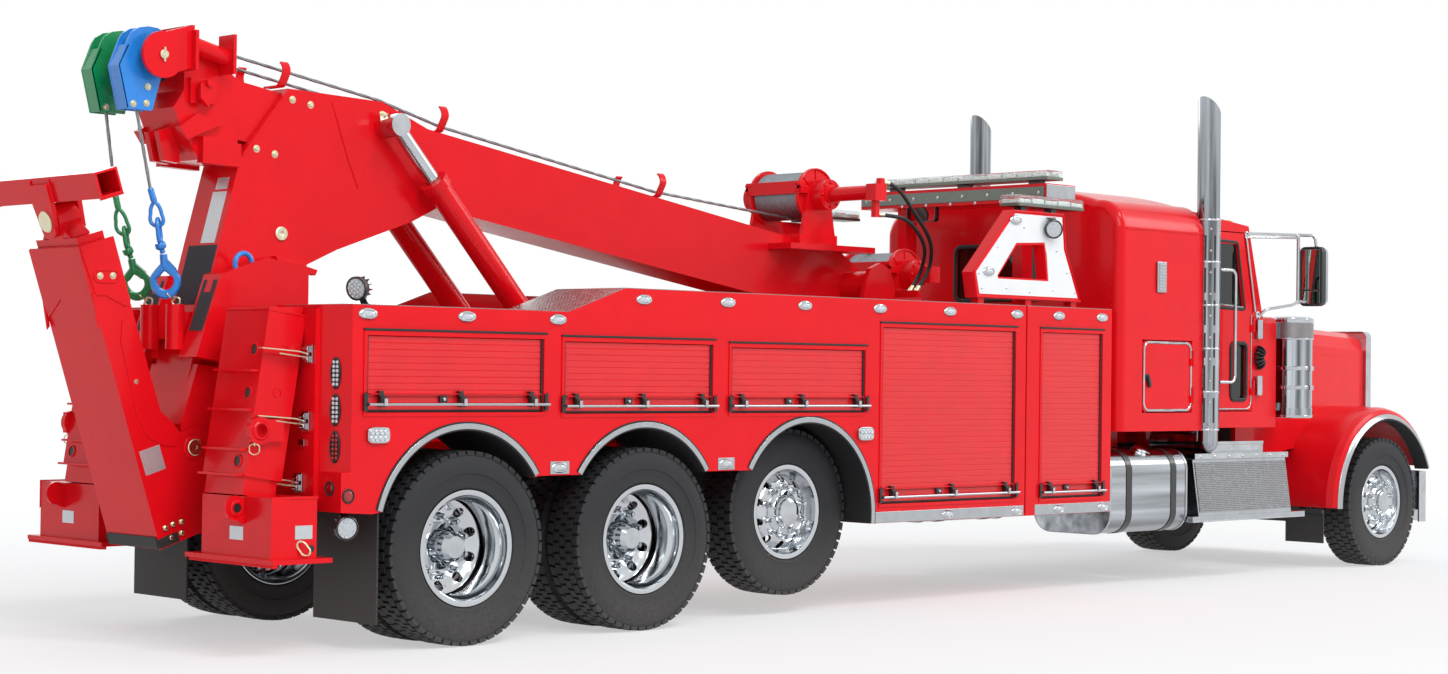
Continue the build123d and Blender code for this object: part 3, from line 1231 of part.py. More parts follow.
arm_top_along, arm_bottom_along = swivel_along - 145, -470.0
extension_top_along = swivel_along - 105
arm_wall = 20.0
arm_inner_half = 215.0
with BuildPart() as underlift_arm:
    box = [arm_point(arm_bottom_along, arm_near), arm_point(arm_bottom_along, arm_far),
           arm_point(arm_top_along, arm_far), arm_point(arm_top_along, arm_near)]
    side_plate(box, (-arm_half_width, arm_half_width))
    core = [arm_point(arm_bottom_along - 5, arm_near + arm_wall),
            arm_point(arm_bottom_along - 5, arm_far - arm_wall),
            arm_point(arm_top_along + 5, arm_far - arm_wall),
            arm_point(arm_top_along + 5, arm_near + arm_wall)]
    side_plate(core, (-arm_inner_half, arm_inner_half), mode=Mode.SUBTRACT)
    for side in (-1, 1):
        y = sorted((side * arm_half_width, side * (arm_half_width - arm_plate)))
        side_plate(
            [arm_point(260, arm_near + 10), arm_point(170, arm_near - 60), arm_point(100, 60),
             arm_point(105, -60),
             arm_point(40, -105), arm_point(-60, -100), arm_point(-470, 60),
             arm_point(-470, arm_near + 10)],
            y,
        )
        pad = sorted((side * (arm_inner_half - slide_fit + pin_fit), side * (arm_inner_half + 1)))
        pad_low, pad_high = arm_top_along - 100, arm_top_along - 20
        side_plate([arm_point(pad_low, arm_near + 60), arm_point(pad_high, arm_near + 60),
                    arm_point(pad_high, arm_far - 60), arm_point(pad_low, arm_far - 60)], pad)
    side_disc(fold_station, fold_z, 45, (-arm_half_width - 20, arm_half_width + 20))
finish(underlift_arm, "underlift_arm")

crossbar_half, crossbar_wall = 565.0, 12.0
swivel_radius = 45.0
ext_gap = slide_fit
with BuildPart() as underlift_extension:
    core = [arm_point(-200, arm_near + arm_wall + ext_gap), arm_point(-200, arm_far - arm_wall - ext_gap),
            arm_point(extension_top_along, arm_far - arm_wall - ext_gap),
            arm_point(extension_top_along, arm_near + arm_wall + ext_gap)]
    side_plate(core, (-arm_inner_half + ext_gap, arm_inner_half - ext_gap))
    with BuildSketch(arm_face(crossbar_far - 3)):
        with Locations((0, swivel_along)):
            Circle(86)
        with Locations((0, swivel_along - 70)):
            Rectangle(150, 140)
        with Locations((0, swivel_along)):
            Circle(swivel_radius + pin_fit, mode=Mode.SUBTRACT)
    extrude(amount=crossbar_size - 6)
finish(underlift_extension, "underlift_extension")

with BuildPart() as crossbar:
    bottom, top = swivel_along + crossbar_gap, swivel_along + crossbar_gap + crossbar_size
    wall = crossbar_wall
    side_plate([arm_point(bottom, crossbar_near), arm_point(top, crossbar_near),
                arm_point(top, crossbar_far),
                arm_point(bottom, crossbar_far)], (-crossbar_half, crossbar_half))
    side_plate([arm_point(bottom + wall, crossbar_near + wall), arm_point(top - wall, crossbar_near + wall),
                arm_point(top - wall, crossbar_far - wall), arm_point(bottom + wall, crossbar_far - wall)],
               (-crossbar_half - 5, crossbar_half + 5), mode=Mode.SUBTRACT)
    for behind in (crossbar_far + yoke_plate, crossbar_near):
        with BuildSketch(arm_face(behind)):
            with BuildLine():
                Polyline([(-95, yoke_top), (95, yoke_top), (95, bottom), (62, swivel_along - 75),
                          (30, swivel_along - 92), (-30, swivel_along - 92), (-62, swivel_along - 75),
                          (-95, bottom)], close=True)
            make_face()
        extrude(amount=yoke_plate)
    with BuildSketch(arm_face(crossbar_far + yoke_plate + 6)):
        with Locations((0, swivel_along)):
            Circle(swivel_radius)
    extrude(amount=crossbar_size + 2 * yoke_plate + 12)
finish(crossbar, "crossbar")

# ---- winch hoses --------------------------------------------------------------------------------
hose_radius = 14.0
hose_bend = 125.0
# columns: station, y and height of each corner of the route, from the upper motor's port to the rail
hose_routes = (
    ((3890.3, -815, 2860), (4030, -815, 2860), (4250, -800, 2665), (4520, -720, 2500), (4665, -600, 2350),
     (4638.25, -560, 2228.25), (4538.25, -560, 2128.25)),
    ((3880.3, -780, 2640), (4000, -780, 2640), (4220, -770, 2625), (4480, -705, 2465), (4620, -565, 2335),
     (4618.25, -500, 2208.25), (4538.25, -500, 2128.25)),
)
with BuildPart() as winch_hoses:
    for route in hose_routes:
        with BuildLine() as run:
            FilletPolyline([(ahead(s), y, z) for s, y, z in route], radius=hose_bend)
        with BuildSketch(Plane(origin=run.line @ 0, z_dir=run.line % 0)) as ring:
            Circle(hose_radius)
        sweep(sections=ring.sketch, path=run.wires()[0])
finish(winch_hoses, "winch_hoses")

# ---- winch drums -------------------------------------------------------------------------------
for name, station, z, seat, motor_length in winches:
    with BuildPart() as drum:
        side_disc(station, z, 125, (-drum_half, drum_half))
        for side in (-1, 1):
            side_disc(station, z, flange_radius, sorted((side * drum_half, side * (drum_half - 14))))
            side_disc(station, z, drum_shaft_radius + pin_fit,
                      sorted((side * (drum_half + 1), side * (drum_half - 66))),
                      mode=Mode.SUBTRACT)
    finish(drum, f"winch_drum_{name}")

# ---- light pylons and lamps ---------------------------------------------------------------------
pylon_inner_y, pylon_outer_y = 1120.0, 1215.0
with BuildPart() as light_pylons:
    for side in (-1, 1):
        y = sorted((side * pylon_inner_y, side * pylon_outer_y))
        side_plate([(4413, 2085), (4378, 2260), (4817, 2708), (5385, 2708), (5412, 2455), (5594, 2085)], y)
        side_plate([(4649, 2235), (4855, 2462), (5160, 2479), (5200, 2233)], (y[0] - 1, y[1] + 1),
                   mode=Mode.SUBTRACT)
        for station in (4460, 4980, 5500):
            block((ahead(station), ahead(station + 60)), (y[0] + 15, y[1] - 15), (deck_top, 2085))
        post = sorted((side * 520, side * 610))
        block((ahead(5680), ahead(5800)), post, (deck_top - 60, 2830))
    block((ahead(5580), ahead(5930)), (-900, 900), (2825, 2955))
finish(light_pylons, "light_pylons")

with BuildPart() as lamps:
    block((ahead(5660), ahead(5850)), (-850, 850), (2990, 3060))
    for y in (-600, 600):
        block((ahead(5700), ahead(5800)), (y - 60, y + 60), (2955, 2990))
    for side in (-1, 1):
        y = sorted((side * 1000, side * 1170))
        block((ahead(4930), ahead(5680)), y, (2745, 2825))
        for station in (5000, 5300):
            block((ahead(station), ahead(station + 40)), y, (2708, 2745))
    for y in (-850, -425, 0, 425, 850):
        side_plate([(7950, 2771.3), (8050, 2761.5), (8045, 2800), (7995, 2815), (7950, 2815)],
                   (y - 35, y + 35))
finish(lamps, "lamps")
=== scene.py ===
import math

import bmesh
import bpy
from mathutils import Matrix, Vector


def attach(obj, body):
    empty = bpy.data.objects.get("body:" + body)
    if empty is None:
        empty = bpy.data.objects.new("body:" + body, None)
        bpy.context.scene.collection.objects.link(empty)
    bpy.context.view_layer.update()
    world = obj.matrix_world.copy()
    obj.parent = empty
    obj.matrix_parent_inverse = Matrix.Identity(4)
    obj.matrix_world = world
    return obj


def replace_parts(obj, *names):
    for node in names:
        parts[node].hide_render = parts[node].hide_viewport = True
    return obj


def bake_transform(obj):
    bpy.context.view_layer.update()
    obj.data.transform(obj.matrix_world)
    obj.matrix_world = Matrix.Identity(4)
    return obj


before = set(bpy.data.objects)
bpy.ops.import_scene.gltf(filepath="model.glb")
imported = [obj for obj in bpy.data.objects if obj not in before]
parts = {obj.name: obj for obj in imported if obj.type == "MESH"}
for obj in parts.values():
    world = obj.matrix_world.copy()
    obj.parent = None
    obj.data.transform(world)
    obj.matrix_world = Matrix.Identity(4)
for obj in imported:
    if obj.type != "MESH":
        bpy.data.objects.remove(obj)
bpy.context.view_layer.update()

# ---- camera, floor and light --------------------------------------------------------------------
# A plain studio: pale floor, white surround, two large soft lamps and one weak sun.
# Stations are millimetres ahead of the rear drive axle, as the chassis is set out.
zero_station = 4.29623
both_sides = (("right", -1), ("left", 1))


def at(station, y, z):
    """A point given by station, y and z in millimetres, in the frame's metres."""
    return Vector((station / 1000 - zero_station, y / 1000, z / 1000))


def linear(hex_colour):
    """An sRGB hex colour as linear RGBA."""
    values = [int(hex_colour[i:i + 2], 16) / 255 for i in (0, 2, 4)]
    return [v / 12.92 if v <= 0.04045 else ((v + 0.055) / 1.055) ** 2.4 for v in values] + [1.0]


def node(tree, kind, settings=None, **sockets):
    """Add a node. settings are its properties; a socket gets a value or the socket that feeds it."""
    made = tree.nodes.new(kind)
    for key, value in (settings or {}).items():
        setattr(made, key, value)
    for key, value in sockets.items():
        entry = made.inputs[int(key[3:])] if key.startswith("in_") else made.inputs[key.replace("_", " ")]
        if isinstance(value, bpy.types.NodeSocket):
            tree.links.new(value, entry)
        else:
            entry.default_value = value
    return made


def reached_from_camera(tree):
    """One for rays that reach a surface from the camera, straight or by way of a mirror or a pane."""
    ray = node(tree, "ShaderNodeLightPath")
    seen = ray.outputs["Is Camera Ray"]
    for kind in ("Is Transmission Ray", "Is Glossy Ray"):
        most = node(tree, "ShaderNodeMath", {"operation": "MAXIMUM"}, in_0=seen, in_1=ray.outputs[kind])
        seen = most.outputs[0]
    return seen


scene = bpy.context.scene
scene.view_settings.view_transform = "Standard"
heading, pitch, roll = (math.radians(turn) for turn in (45.163, 0.806, 0.7165))
ahead_of = Vector((math.cos(heading) * math.cos(pitch), math.sin(heading) * math.cos(pitch), math.sin(pitch)))
level = Vector((math.sin(heading), -math.cos(heading), 0.0))
upright = level.cross(ahead_of)
right_hand = math.cos(roll) * level + math.sin(roll) * upright
head_up = -math.sin(roll) * level + math.cos(roll) * upright
camera_data = bpy.data.cameras.new("camera")
camera_data.sensor_width = 36.0
camera_data.lens = 62.11
camera_data.clip_end = 200.0
camera = bpy.data.objects.new("camera", camera_data)
turned = Matrix((right_hand, head_up, -ahead_of)).transposed().to_4x4()
camera.matrix_world = Matrix.Translation(at(-8855.7, -12121.6, 1551.5)) @ turned
scene.collection.objects.link(camera)
scene.camera = camera

for name, spot, aim, power, size in (
    ("key_lamp", (-9.0, -13.0, 11.0), (0, 0, 1.5), 1050.0, 8.0),
    ("front_lamp", (12.0, -9.0, 9.0), (2, 0, 1.5), 650.0, 7.0),
    ("far_lamp", (2.0, 13.0, 9.0), (0, 0, 1.5), 520.0, 9.0),
):
    lamp_data = bpy.data.lights.new(name, "AREA")
    lamp_data.energy = power
    lamp_data.size = size
    lamp = bpy.data.objects.new(name, lamp_data)
    lamp.location = spot
    lamp.rotation_euler = (Vector(aim) - Vector(spot)).to_track_quat("-Z", "Y").to_euler()
    scene.collection.objects.link(lamp)
sun_data = bpy.data.lights.new("sun", "SUN")
sun_data.energy = 0.75
sun_data.angle = math.radians(12)
sun = bpy.data.objects.new("sun", sun_data)
sun.rotation_euler = (math.radians(38), math.radians(-12), math.radians(20))
scene.collection.objects.link(sun)

world = bpy.data.worlds.new("studio")
world.use_nodes = True
scene.world = world
air = world.node_tree
air.nodes.clear()
ambient = node(air, "ShaderNodeBackground", Color=linear("DDE4EC"), Strength=0.55)
surround = node(air, "ShaderNodeBackground", Color=linear("FFFFFF"), Strength=1.0)
both = node(air, "ShaderNodeMixShader", in_0=reached_from_camera(air), in_1=ambient.outputs[0],
            in_2=surround.outputs[0])
node(air, "ShaderNodeOutputWorld", Surface=both.outputs[0])


def surface(name, hex_colour, roughness, metallic=0.0, grain=40.0, vary=0.05, rough_vary=0.05, bump=0.0,
            coat=0.0, dust=None, reflection_streak_stretch=(1.0, 1.0, 1.0)):
    """A finish whose colour, gloss and bump wander over patches of about grain millimetres.

    dust is a hex colour and the height in metres under which a film of road dust builds up.
    reflection_streak_stretch is under one on an axis, so patches run out there into painted reflection
    streaks."""
    made = bpy.data.materials.new(name)
    made.use_nodes = True
    tree = made.node_tree
    shader = tree.nodes["Principled BSDF"]
    place = node(tree, "ShaderNodeTexCoord").outputs["Object"]
    # Stretched along one axis, the colour patches become streaks of painted reflection on polished metal.
    pulled = node(tree, "ShaderNodeMapping", Vector=place, Scale=reflection_streak_stretch)
    cloud = node(tree, "ShaderNodeTexNoise", Vector=pulled.outputs[0], Scale=1000.0 / grain,
                 Detail=5.0).outputs[0]
    shade = node(tree, "ShaderNodeMapRange", Value=cloud, From_Min=0.3, From_Max=0.7, To_Min=1 - vary,
                 To_Max=1 + vary)
    colour = node(tree, "ShaderNodeMix", {"data_type": "RGBA", "blend_type": "MULTIPLY"}, in_0=1.0,
                  in_6=linear(hex_colour), in_7=shade.outputs[0]).outputs[2]
    if dust:
        height = node(tree, "ShaderNodeSeparateXYZ", Vector=place).outputs["Z"]
        low = node(tree, "ShaderNodeMapRange", Value=height, From_Min=dust[1], From_Max=0.1, To_Min=0.0,
                   To_Max=0.4)
        film = node(tree, "ShaderNodeMath", {"operation": "MULTIPLY"}, in_0=low.outputs[0], in_1=cloud)
        colour = node(tree, "ShaderNodeMix", {"data_type": "RGBA"}, in_0=film.outputs[0], in_6=colour,
                      in_7=linear(dust[0])).outputs[2]
    tree.links.new(colour, shader.inputs["Base Color"])
    rough = node(tree, "ShaderNodeMapRange", Value=cloud, From_Min=0.25, From_Max=0.75,
                 To_Min=max(roughness - rough_vary, 0.02), To_Max=roughness + rough_vary)
    tree.links.new(rough.outputs[0], shader.inputs["Roughness"])
    shader.inputs["Metallic"].default_value = metallic
    shader.inputs["Coat Weight"].default_value = coat
    shader.inputs["Coat Roughness"].default_value = 0.03
    if bump:
        relief = node(tree, "ShaderNodeBump", Height=cloud, Strength=0.6, Distance=bump / 1000)
        tree.links.new(relief.outputs[0], shader.inputs["Normal"])
    return made


# Studio floor, painted board: matt and pale. To the eye it fades into the white surround with distance.
floor_mesh = bpy.data.meshes.new("floor")
floor_mesh.from_pydata([(-60, -60, 0), (60, -60, 0), (60, 60, 0), (-60, 60, 0)], [], [(0, 1, 2, 3)])
floor = bpy.data.objects.new("floor", floor_mesh)
floor_paint = surface("floor_matt_emulsion", "F4F4F4", 0.9, grain=900.0, vary=0.005, rough_vary=0.02)
tree = floor_paint.node_tree
place = node(tree, "ShaderNodeTexCoord").outputs["Object"]
reach = node(tree, "ShaderNodeVectorMath", {"operation": "LENGTH"}, in_0=place)
fade = node(tree, "ShaderNodeMapRange", Value=reach.outputs["Value"], From_Min=5.0, From_Max=14.0, To_Min=0.5,
            To_Max=1.0)
fade = node(tree, "ShaderNodeMath", {"operation": "MULTIPLY"}, in_0=fade.outputs[0],
            in_1=reached_from_camera(tree))
white = node(tree, "ShaderNodeEmission", Strength=1.0)
mixed = node(tree, "ShaderNodeMixShader", in_0=fade.outputs[0], in_1=tree.nodes["Principled BSDF"].outputs[0],
             in_2=white.outputs[0])
tree.links.new(mixed.outputs[0], tree.nodes["Material Output"].inputs["Surface"])
floor_mesh.materials.append(floor_paint)
scene.collection.objects.link(floor)

# ---- enamel, chassis and castings ---------------------------------------------------------------
# Sheet and plate sprayed with two-pack polyurethane enamel: deep red under a clear glossy skin.
# The chassis rails, axles and engine wear a satin black chassis enamel, with road dust low down.
red_enamel = surface("red_polyurethane_enamel_sprayed", "E5101C", 0.22, grain=220.0, vary=0.035,
                     rough_vary=0.04, coat=0.1)
red_enamel.node_tree.nodes["Principled BSDF"].inputs["Specular IOR Level"].default_value = 0.18
chassis_enamel = surface("black_chassis_enamel_sprayed", "1B1C1E", 0.42, grain=60.0, vary=0.2, rough_vary=0.1,
                         dust=("6B655C", 0.9))
rubber = surface("black_rubber_moulded", "1A1B1D", 0.62, grain=25.0, vary=0.12, rough_vary=0.08,
                 dust=("6B655C", 0.8))
chrome = surface("chromium_plate_polished", "BFC3C7", 0.06, metallic=1.0, grain=120.0, vary=0.12,
                 rough_vary=0.02)
# Chrome of the stacks, air cleaners and mirror shells: its colour swings widely in long upright streaks,
# painted reflections of a dark horizon.
chrome_painted_reflections = surface("chromium_plate_painted_upright_reflections", "9DA2A7", 0.07, metallic=1.0, grain=55.0, vary=0.75,
                         rough_vary=0.03, reflection_streak_stretch=(1.0, 1.0, 0.03))
mill_aluminium = surface("aluminium_polished", "B4B8BC", 0.17, metallic=1.0, grain=90.0, vary=0.06,
                         rough_vary=0.05)
# Saddle tank aluminium: its colour swings widely in long lengthwise streaks, painted reflections on the
# polished tanks.
tank_painted_reflections = surface("aluminium_painted_lengthwise_reflections", "A9AEB3", 0.14, metallic=1.0, grain=110.0, vary=0.6,
                         rough_vary=0.04, reflection_streak_stretch=(0.03, 1.0, 1.0))


def dress(name, material):
    """Give a CAD node its finish."""
    slots = parts[name].data.materials
    slots.clear()
    slots.append(material)


for name in ("cab_shell", "sleeper_shell", "sleeper_roof", "cab_door_left", "cab_door_right",
             "bunk_door_left", "bunk_door_right", "hood", "body_left", "body_right", "centre_frame",
             "tail_frame", "boom", "boom_extension", "lift_barrels", "underlift_arm", "underlift_extension",
             "crossbar", "outrigger_left", "outrigger_right", "winch_drum_upper", "winch_drum_lower",
             "light_pylons"):
    dress(name, red_enamel)
for name in ("chassis_frame", "engine_block", "steer_axle", "rear_axles", "knuckle_left", "knuckle_right"):
    dress(name, chassis_enamel)
dress("mud_flaps", rubber)
dress("lift_rods", chrome)
dress("air_cleaners", chrome_painted_reflections)
dress("fuel_tanks", tank_painted_reflections)

# ---- wheels and tyres ---------------------------------------------------------------------------
# Radial truck tyres with blocky treads, on forged aluminium wheels with ten hand holes each.
# Every hub wears a chromed steel cover and a ring of push-on nut caps.
tyre_rubber = surface("tyre_rubber_vulcanised", "202124", 0.72, grain=18.0, vary=0.16, rough_vary=0.08,
                      dust=("77716A", 0.7))
forged_aluminium = surface("forged_aluminium_polished", "C6CACE", 0.13, metallic=1.0, grain=70.0, vary=0.03,
                           rough_vary=0.04)


def local(x, y, z):
    """A point of a shape built about the origin, from millimetres."""
    return Vector((x, y, z)) / 1000


def weave(form, rings, looped=False):
    """Skin rings of points one after the other, round in a loop or with a flat face at either end."""
    rings = [[form.verts.new(point) for point in ring] for ring in rings]
    for first, second in zip(rings, rings[1:] + (rings[:1] if looped else [])):
        for k in range(len(first)):
            form.faces.new((first[k - 1], first[k], second[k], second[k - 1]))
    if not looped:
        form.faces.new(rings[0])
        form.faces.new(rings[-1][::-1])


def outboard(side, near, far):
    """The values of y from near to far on one side, low one first."""
    return sorted((side * near, side * far))


def prism(form, outline, span, lie="side", spot=at):
    """Extrude an outline across span: side is (station, z) along y, front (y, z), flat (station, y)."""
    order = {"side": lambda a, b, c: spot(a, c, b), "front": lambda a, b, c: spot(c, a, b),
             "flat": lambda a, b, c: spot(a, b, c)}[lie]
    weave(form, [[order(a, b, c) for a, b in outline] for c in span])


def slab(form, x, y, z, spot=at):
    """A box between two values on each axis."""
    prism(form, [(x[0], z[0]), (x[1], z[0]), (x[1], z[1]), (x[0], z[1])], y, spot=spot)


def lathe(form, outline, centre, axis=(0, -1, 0), steps=48):
    """Revolve a closed outline of (radius, distance along the axis) in millimetres about the axis."""
    along = Vector(axis).normalized()
    first = along.orthogonal().normalized()
    second = along.cross(first)
    poles = [None if r else form.verts.new(centre + along * d / 1000) for r, d in outline]
    columns = []
    for k in range(steps):
        turn = math.tau * k / steps
        out = first * math.cos(turn) + second * math.sin(turn)
        columns.append([pole or form.verts.new(centre + (out * r + along * d) / 1000)
                        for pole, (r, d) in zip(poles, outline)])
    for k in range(steps):
        for i in range(len(outline)):
            if outline[i][0] or outline[i - 1][0]:
                corners = (columns[k - 1][i - 1], columns[k - 1][i], columns[k][i], columns[k][i - 1])
                form.faces.new(dict.fromkeys(corners))


def mesh_from(form, name, material, smooth=32.0):
    """Turn a form's faces outward and make it a mesh with soft curves and crisp corners."""
    bmesh.ops.recalc_face_normals(form, faces=form.faces)
    mesh = bpy.data.meshes.new(name)
    form.to_mesh(mesh)
    form.free()
    mesh.shade_smooth()
    mesh.set_sharp_from_angle(angle=math.radians(smooth))
    mesh.materials.append(material)
    return mesh


def fit(name, mesh, body="truck", bevel=0.0):
    """Put a finished mesh on its body, with softened edges where bevel millimetres are given."""
    made = bpy.data.objects.new(name, mesh)
    scene.collection.objects.link(made)
    if bevel:
        edges = made.modifiers.new("edges", "BEVEL")
        edges.width = bevel / 1000
        edges.segments = 2
        edges.limit_method = "ANGLE"
        edges.angle_limit = math.radians(40)
        edges.harden_normals = True
    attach(made, body)
    return made


def add(name, form, material, body="truck", bevel=0.0, smooth=32.0):
    """Turn a form into a finished piece on its body."""
    return fit(name, mesh_from(form, name, material, smooth), body, bevel)


def copying_tree(name, inputs, lay):
    """A geometry tree that copies Shape as the points and turns from lay say, in the given Finish."""
    tree = bpy.data.node_groups.new(name, "GeometryNodeTree")
    for label, kind in (("Geometry", "Geometry"), ("Shape", "Object"), ("Finish", "Material"), *inputs):
        tree.interface.new_socket(label, in_out="INPUT", socket_type="NodeSocket" + kind)
    tree.interface.new_socket("Geometry", in_out="OUTPUT", socket_type="NodeSocketGeometry")
    start = node(tree, "NodeGroupInput").outputs
    shape = node(tree, "GeometryNodeObjectInfo", Object=start["Shape"])
    copies = node(tree, "GeometryNodeInstanceOnPoints", Instance=shape.outputs["Geometry"],
                  **lay(tree, start))
    whole = node(tree, "GeometryNodeRealizeInstances", Geometry=copies.outputs[0])
    done = node(tree, "GeometryNodeSetMaterial", Geometry=whole.outputs[0], Material=start["Finish"])
    node(tree, "NodeGroupOutput", Geometry=done.outputs[0])
    return tree


def product(tree, first, second):
    """Two sockets or values multiplied."""
    return node(tree, "ShaderNodeMath", {"operation": "MULTIPLY"}, in_0=first, in_1=second).outputs[0]


def about_axle(tree, start):
    """Count points at the origin, each turned a further share of a turn about Y."""
    index = node(tree, "GeometryNodeInputIndex").outputs[0]
    share = node(tree, "ShaderNodeMath", {"operation": "DIVIDE"}, in_0=index, in_1=start["Count"])
    turn = node(tree, "ShaderNodeCombineXYZ", Y=product(tree, share.outputs[0], math.tau))
    spots = node(tree, "GeometryNodePoints", Count=start["Count"])
    return {"Points": spots.outputs[0], "Rotation": turn.outputs[0]}


def on_rows(tree, start):
    """The base mesh's points, each turned as its turn attribute says."""
    turn = node(tree, "GeometryNodeInputNamedAttribute", {"data_type": "FLOAT_VECTOR"}, Name="turn")
    return {"Points": start["Geometry"], "Rotation": turn.outputs[0]}


around_tree = copying_tree("turned_about_axle", (("Count", "Int"),), about_axle)
points_tree = copying_tree("set_on_points", (), on_rows)


def grow(tree, shape, base, **inputs):
    """Run a tree on a base mesh with a shape's mesh and give back the plain mesh that it makes."""
    pattern = bpy.data.objects.new("pattern", shape)
    carrier = bpy.data.objects.new("carrier", base)
    for made in (pattern, carrier):
        scene.collection.objects.link(made)
    work = carrier.modifiers.new("work", "NODES")
    work.node_group = tree
    values = {"Shape": pattern, "Finish": shape.materials[0], **inputs}
    for item in tree.interface.items_tree:
        if item.in_out == "INPUT" and item.name in values:
            work[item.identifier] = values[item.name]
    carrier.update_tag()
    bpy.context.view_layer.update()
    made = carrier.evaluated_get(bpy.context.evaluated_depsgraph_get())
    mesh = bpy.data.meshes.new_from_object(made)
    carrier.modifiers.clear()
    for extra in (carrier, pattern):
        bpy.data.objects.remove(extra)
    return mesh


def ring_of(shape, count):
    """A shape's mesh repeated about the Y axis."""
    return grow(around_tree, shape, bpy.data.meshes.new("empty"), Count=count)


def set_out(shape, rows):
    """A shape's mesh on each (point, turn) row; turn is an Euler rotation in degrees."""
    base = bpy.data.meshes.new("rows")
    base.from_pydata([row[0] for row in rows], [], [])
    turns = base.attributes.new("turn", "FLOAT_VECTOR", "POINT")
    for entry, row in zip(turns.data, rows):
        entry.vector = [math.radians(a) for a in row[1]]
    return grow(points_tree, shape, base)


def joined(meshes, name):
    """Several meshes of one finish as one mesh."""
    form = bmesh.new()
    for mesh in meshes:
        form.from_mesh(mesh)
    whole = bpy.data.meshes.new(name)
    form.to_mesh(whole)
    form.free()
    whole.materials.append(meshes[0].materials[0])
    return whole


def tyre_mesh(radius, width, bead, pitches, offset):
    """One tyre about the origin, outboard towards -Y, its middle offset outboard by some millimetres."""
    half, tread_depth = width / 2, 13.0
    crown, shoulder = radius - tread_depth, half * 0.86
    wall = (radius + bead) / 2
    side = [(crown, 0), (crown - 2, shoulder * 0.6), (crown - 6, shoulder), (crown - 22, half * 0.93),
            (crown - 60, half * 0.985), (wall + 22, half), (wall - 10, half * 0.995), (wall - 14, half - 5),
            (wall - 34, half * 0.96), (bead + 46, half * 0.90), (bead + 40, half * 0.915),
            (bead + 26, half * 0.88), (bead + 21, half * 0.80)]
    outline = [(r, offset + y) for r, y in side] + [(bead + 21, offset)] + [(r, offset - y)
            for r, y in side[:0:-1]]
    form = bmesh.new()
    lathe(form, outline, Vector(), steps=84)
    carcass = mesh_from(form, "carcass", tyre_rubber, 40.0)
    lugs = bmesh.new()
    pitch = math.tau * radius / pitches
    for row, (inner, outer, skew) in enumerate(((-0.98, -0.62, -0.10), (-0.57, -0.22, 0.08),
                                                (-0.18, 0.18, -0.06), (0.22, 0.57, 0.08),
                                                (0.62, 0.98, 0.10))):
        long, shift = pitch * 0.80, (row % 2) * pitch * 0.5
        edge = abs(inner) > 0.9 or abs(outer) > 0.9
        base_r, top_r = crown - (14 if edge else 6), radius - (3.0 if edge else 0.0)
        low_y, high_y = sorted((inner * half * 0.95, outer * half * 0.95))
        block = []
        for r, length in ((base_r, long), (top_r, long * 0.93)):
            block.append([])
            for x, y in ((-0.5, low_y), (0.5, low_y), (0.5, high_y), (-0.5, high_y)):
                angle = (x * length + shift + skew * y) / radius
                block[-1].append(local(r * math.sin(angle), -(offset + y), r * math.cos(angle)))
        weave(lugs, block)
    blocks = ring_of(mesh_from(lugs, "lugs", tyre_rubber, 30.0), pitches)
    return joined([carcass, blocks], "tyre")


def disc_mesh(flat, flat_y, edge, edge_y, hole_at, hole_radius, thick):
    """A wheel disc with ten round hand holes, dished from (flat, flat_y) to (edge, edge_y)."""
    inner, steps, count = 118.0, 24, 10
    half_turn = math.pi / count

    def lift(r):
        share = min(max((r - flat) / (edge - flat), 0.0), 1.0)
        return flat_y + (edge_y - flat_y) * share * share * (3 - 2 * share)

    def spot(r, angle, back):
        return local(r * math.sin(angle), -(lift(r) - back * thick), r * math.cos(angle))

    rim_line, hole_line = [], []
    for k in range(steps):
        angle = math.tau * k / steps
        x, y = math.sin(angle), math.cos(angle)
        reach = max(abs(x), abs(y))
        rim_line.append(((inner + edge) / 2 + y / reach * (edge - inner) / 2, x / reach * half_turn))
        hole_line.append((hole_at + hole_radius * y, hole_radius * x / hole_at))
    middle = [((a[0] * 0.35 + b[0] * 0.65), (a[1] * 0.35 + b[1] * 0.65)) for a, b in zip(rim_line, hole_line)]
    loops = ((rim_line, 0), (middle, 0), (hole_line, 0), (hole_line, 1), (middle, 1), (rim_line, 1))
    form = bmesh.new()
    rings = [[form.verts.new(spot(r, a, back)) for r, a in line] for line, back in loops]
    for first, second in zip(rings, rings[1:]):
        for k in range(steps):
            form.faces.new((first[k - 1], first[k], second[k], second[k - 1]))
    sector = bpy.data.meshes.new("sector")
    form.to_mesh(sector)
    form.free()
    sector.materials.append(forged_aluminium)
    whole = bmesh.new()
    whole.from_mesh(ring_of(sector, count))
    bmesh.ops.remove_doubles(whole, verts=whole.verts, dist=2e-5)
    rims = [edge for edge in whole.edges if edge.is_boundary]
    bmesh.ops.bridge_loops(whole, edges=[e for e in rims if (e.verts[0].co.xz.length < 0.13)])
    bmesh.ops.bridge_loops(whole, edges=[e for e in rims if e.is_valid and e.verts[0].co.xz.length > 0.2
                                         and e.is_boundary])
    return mesh_from(whole, "disc", forged_aluminium, 40.0)


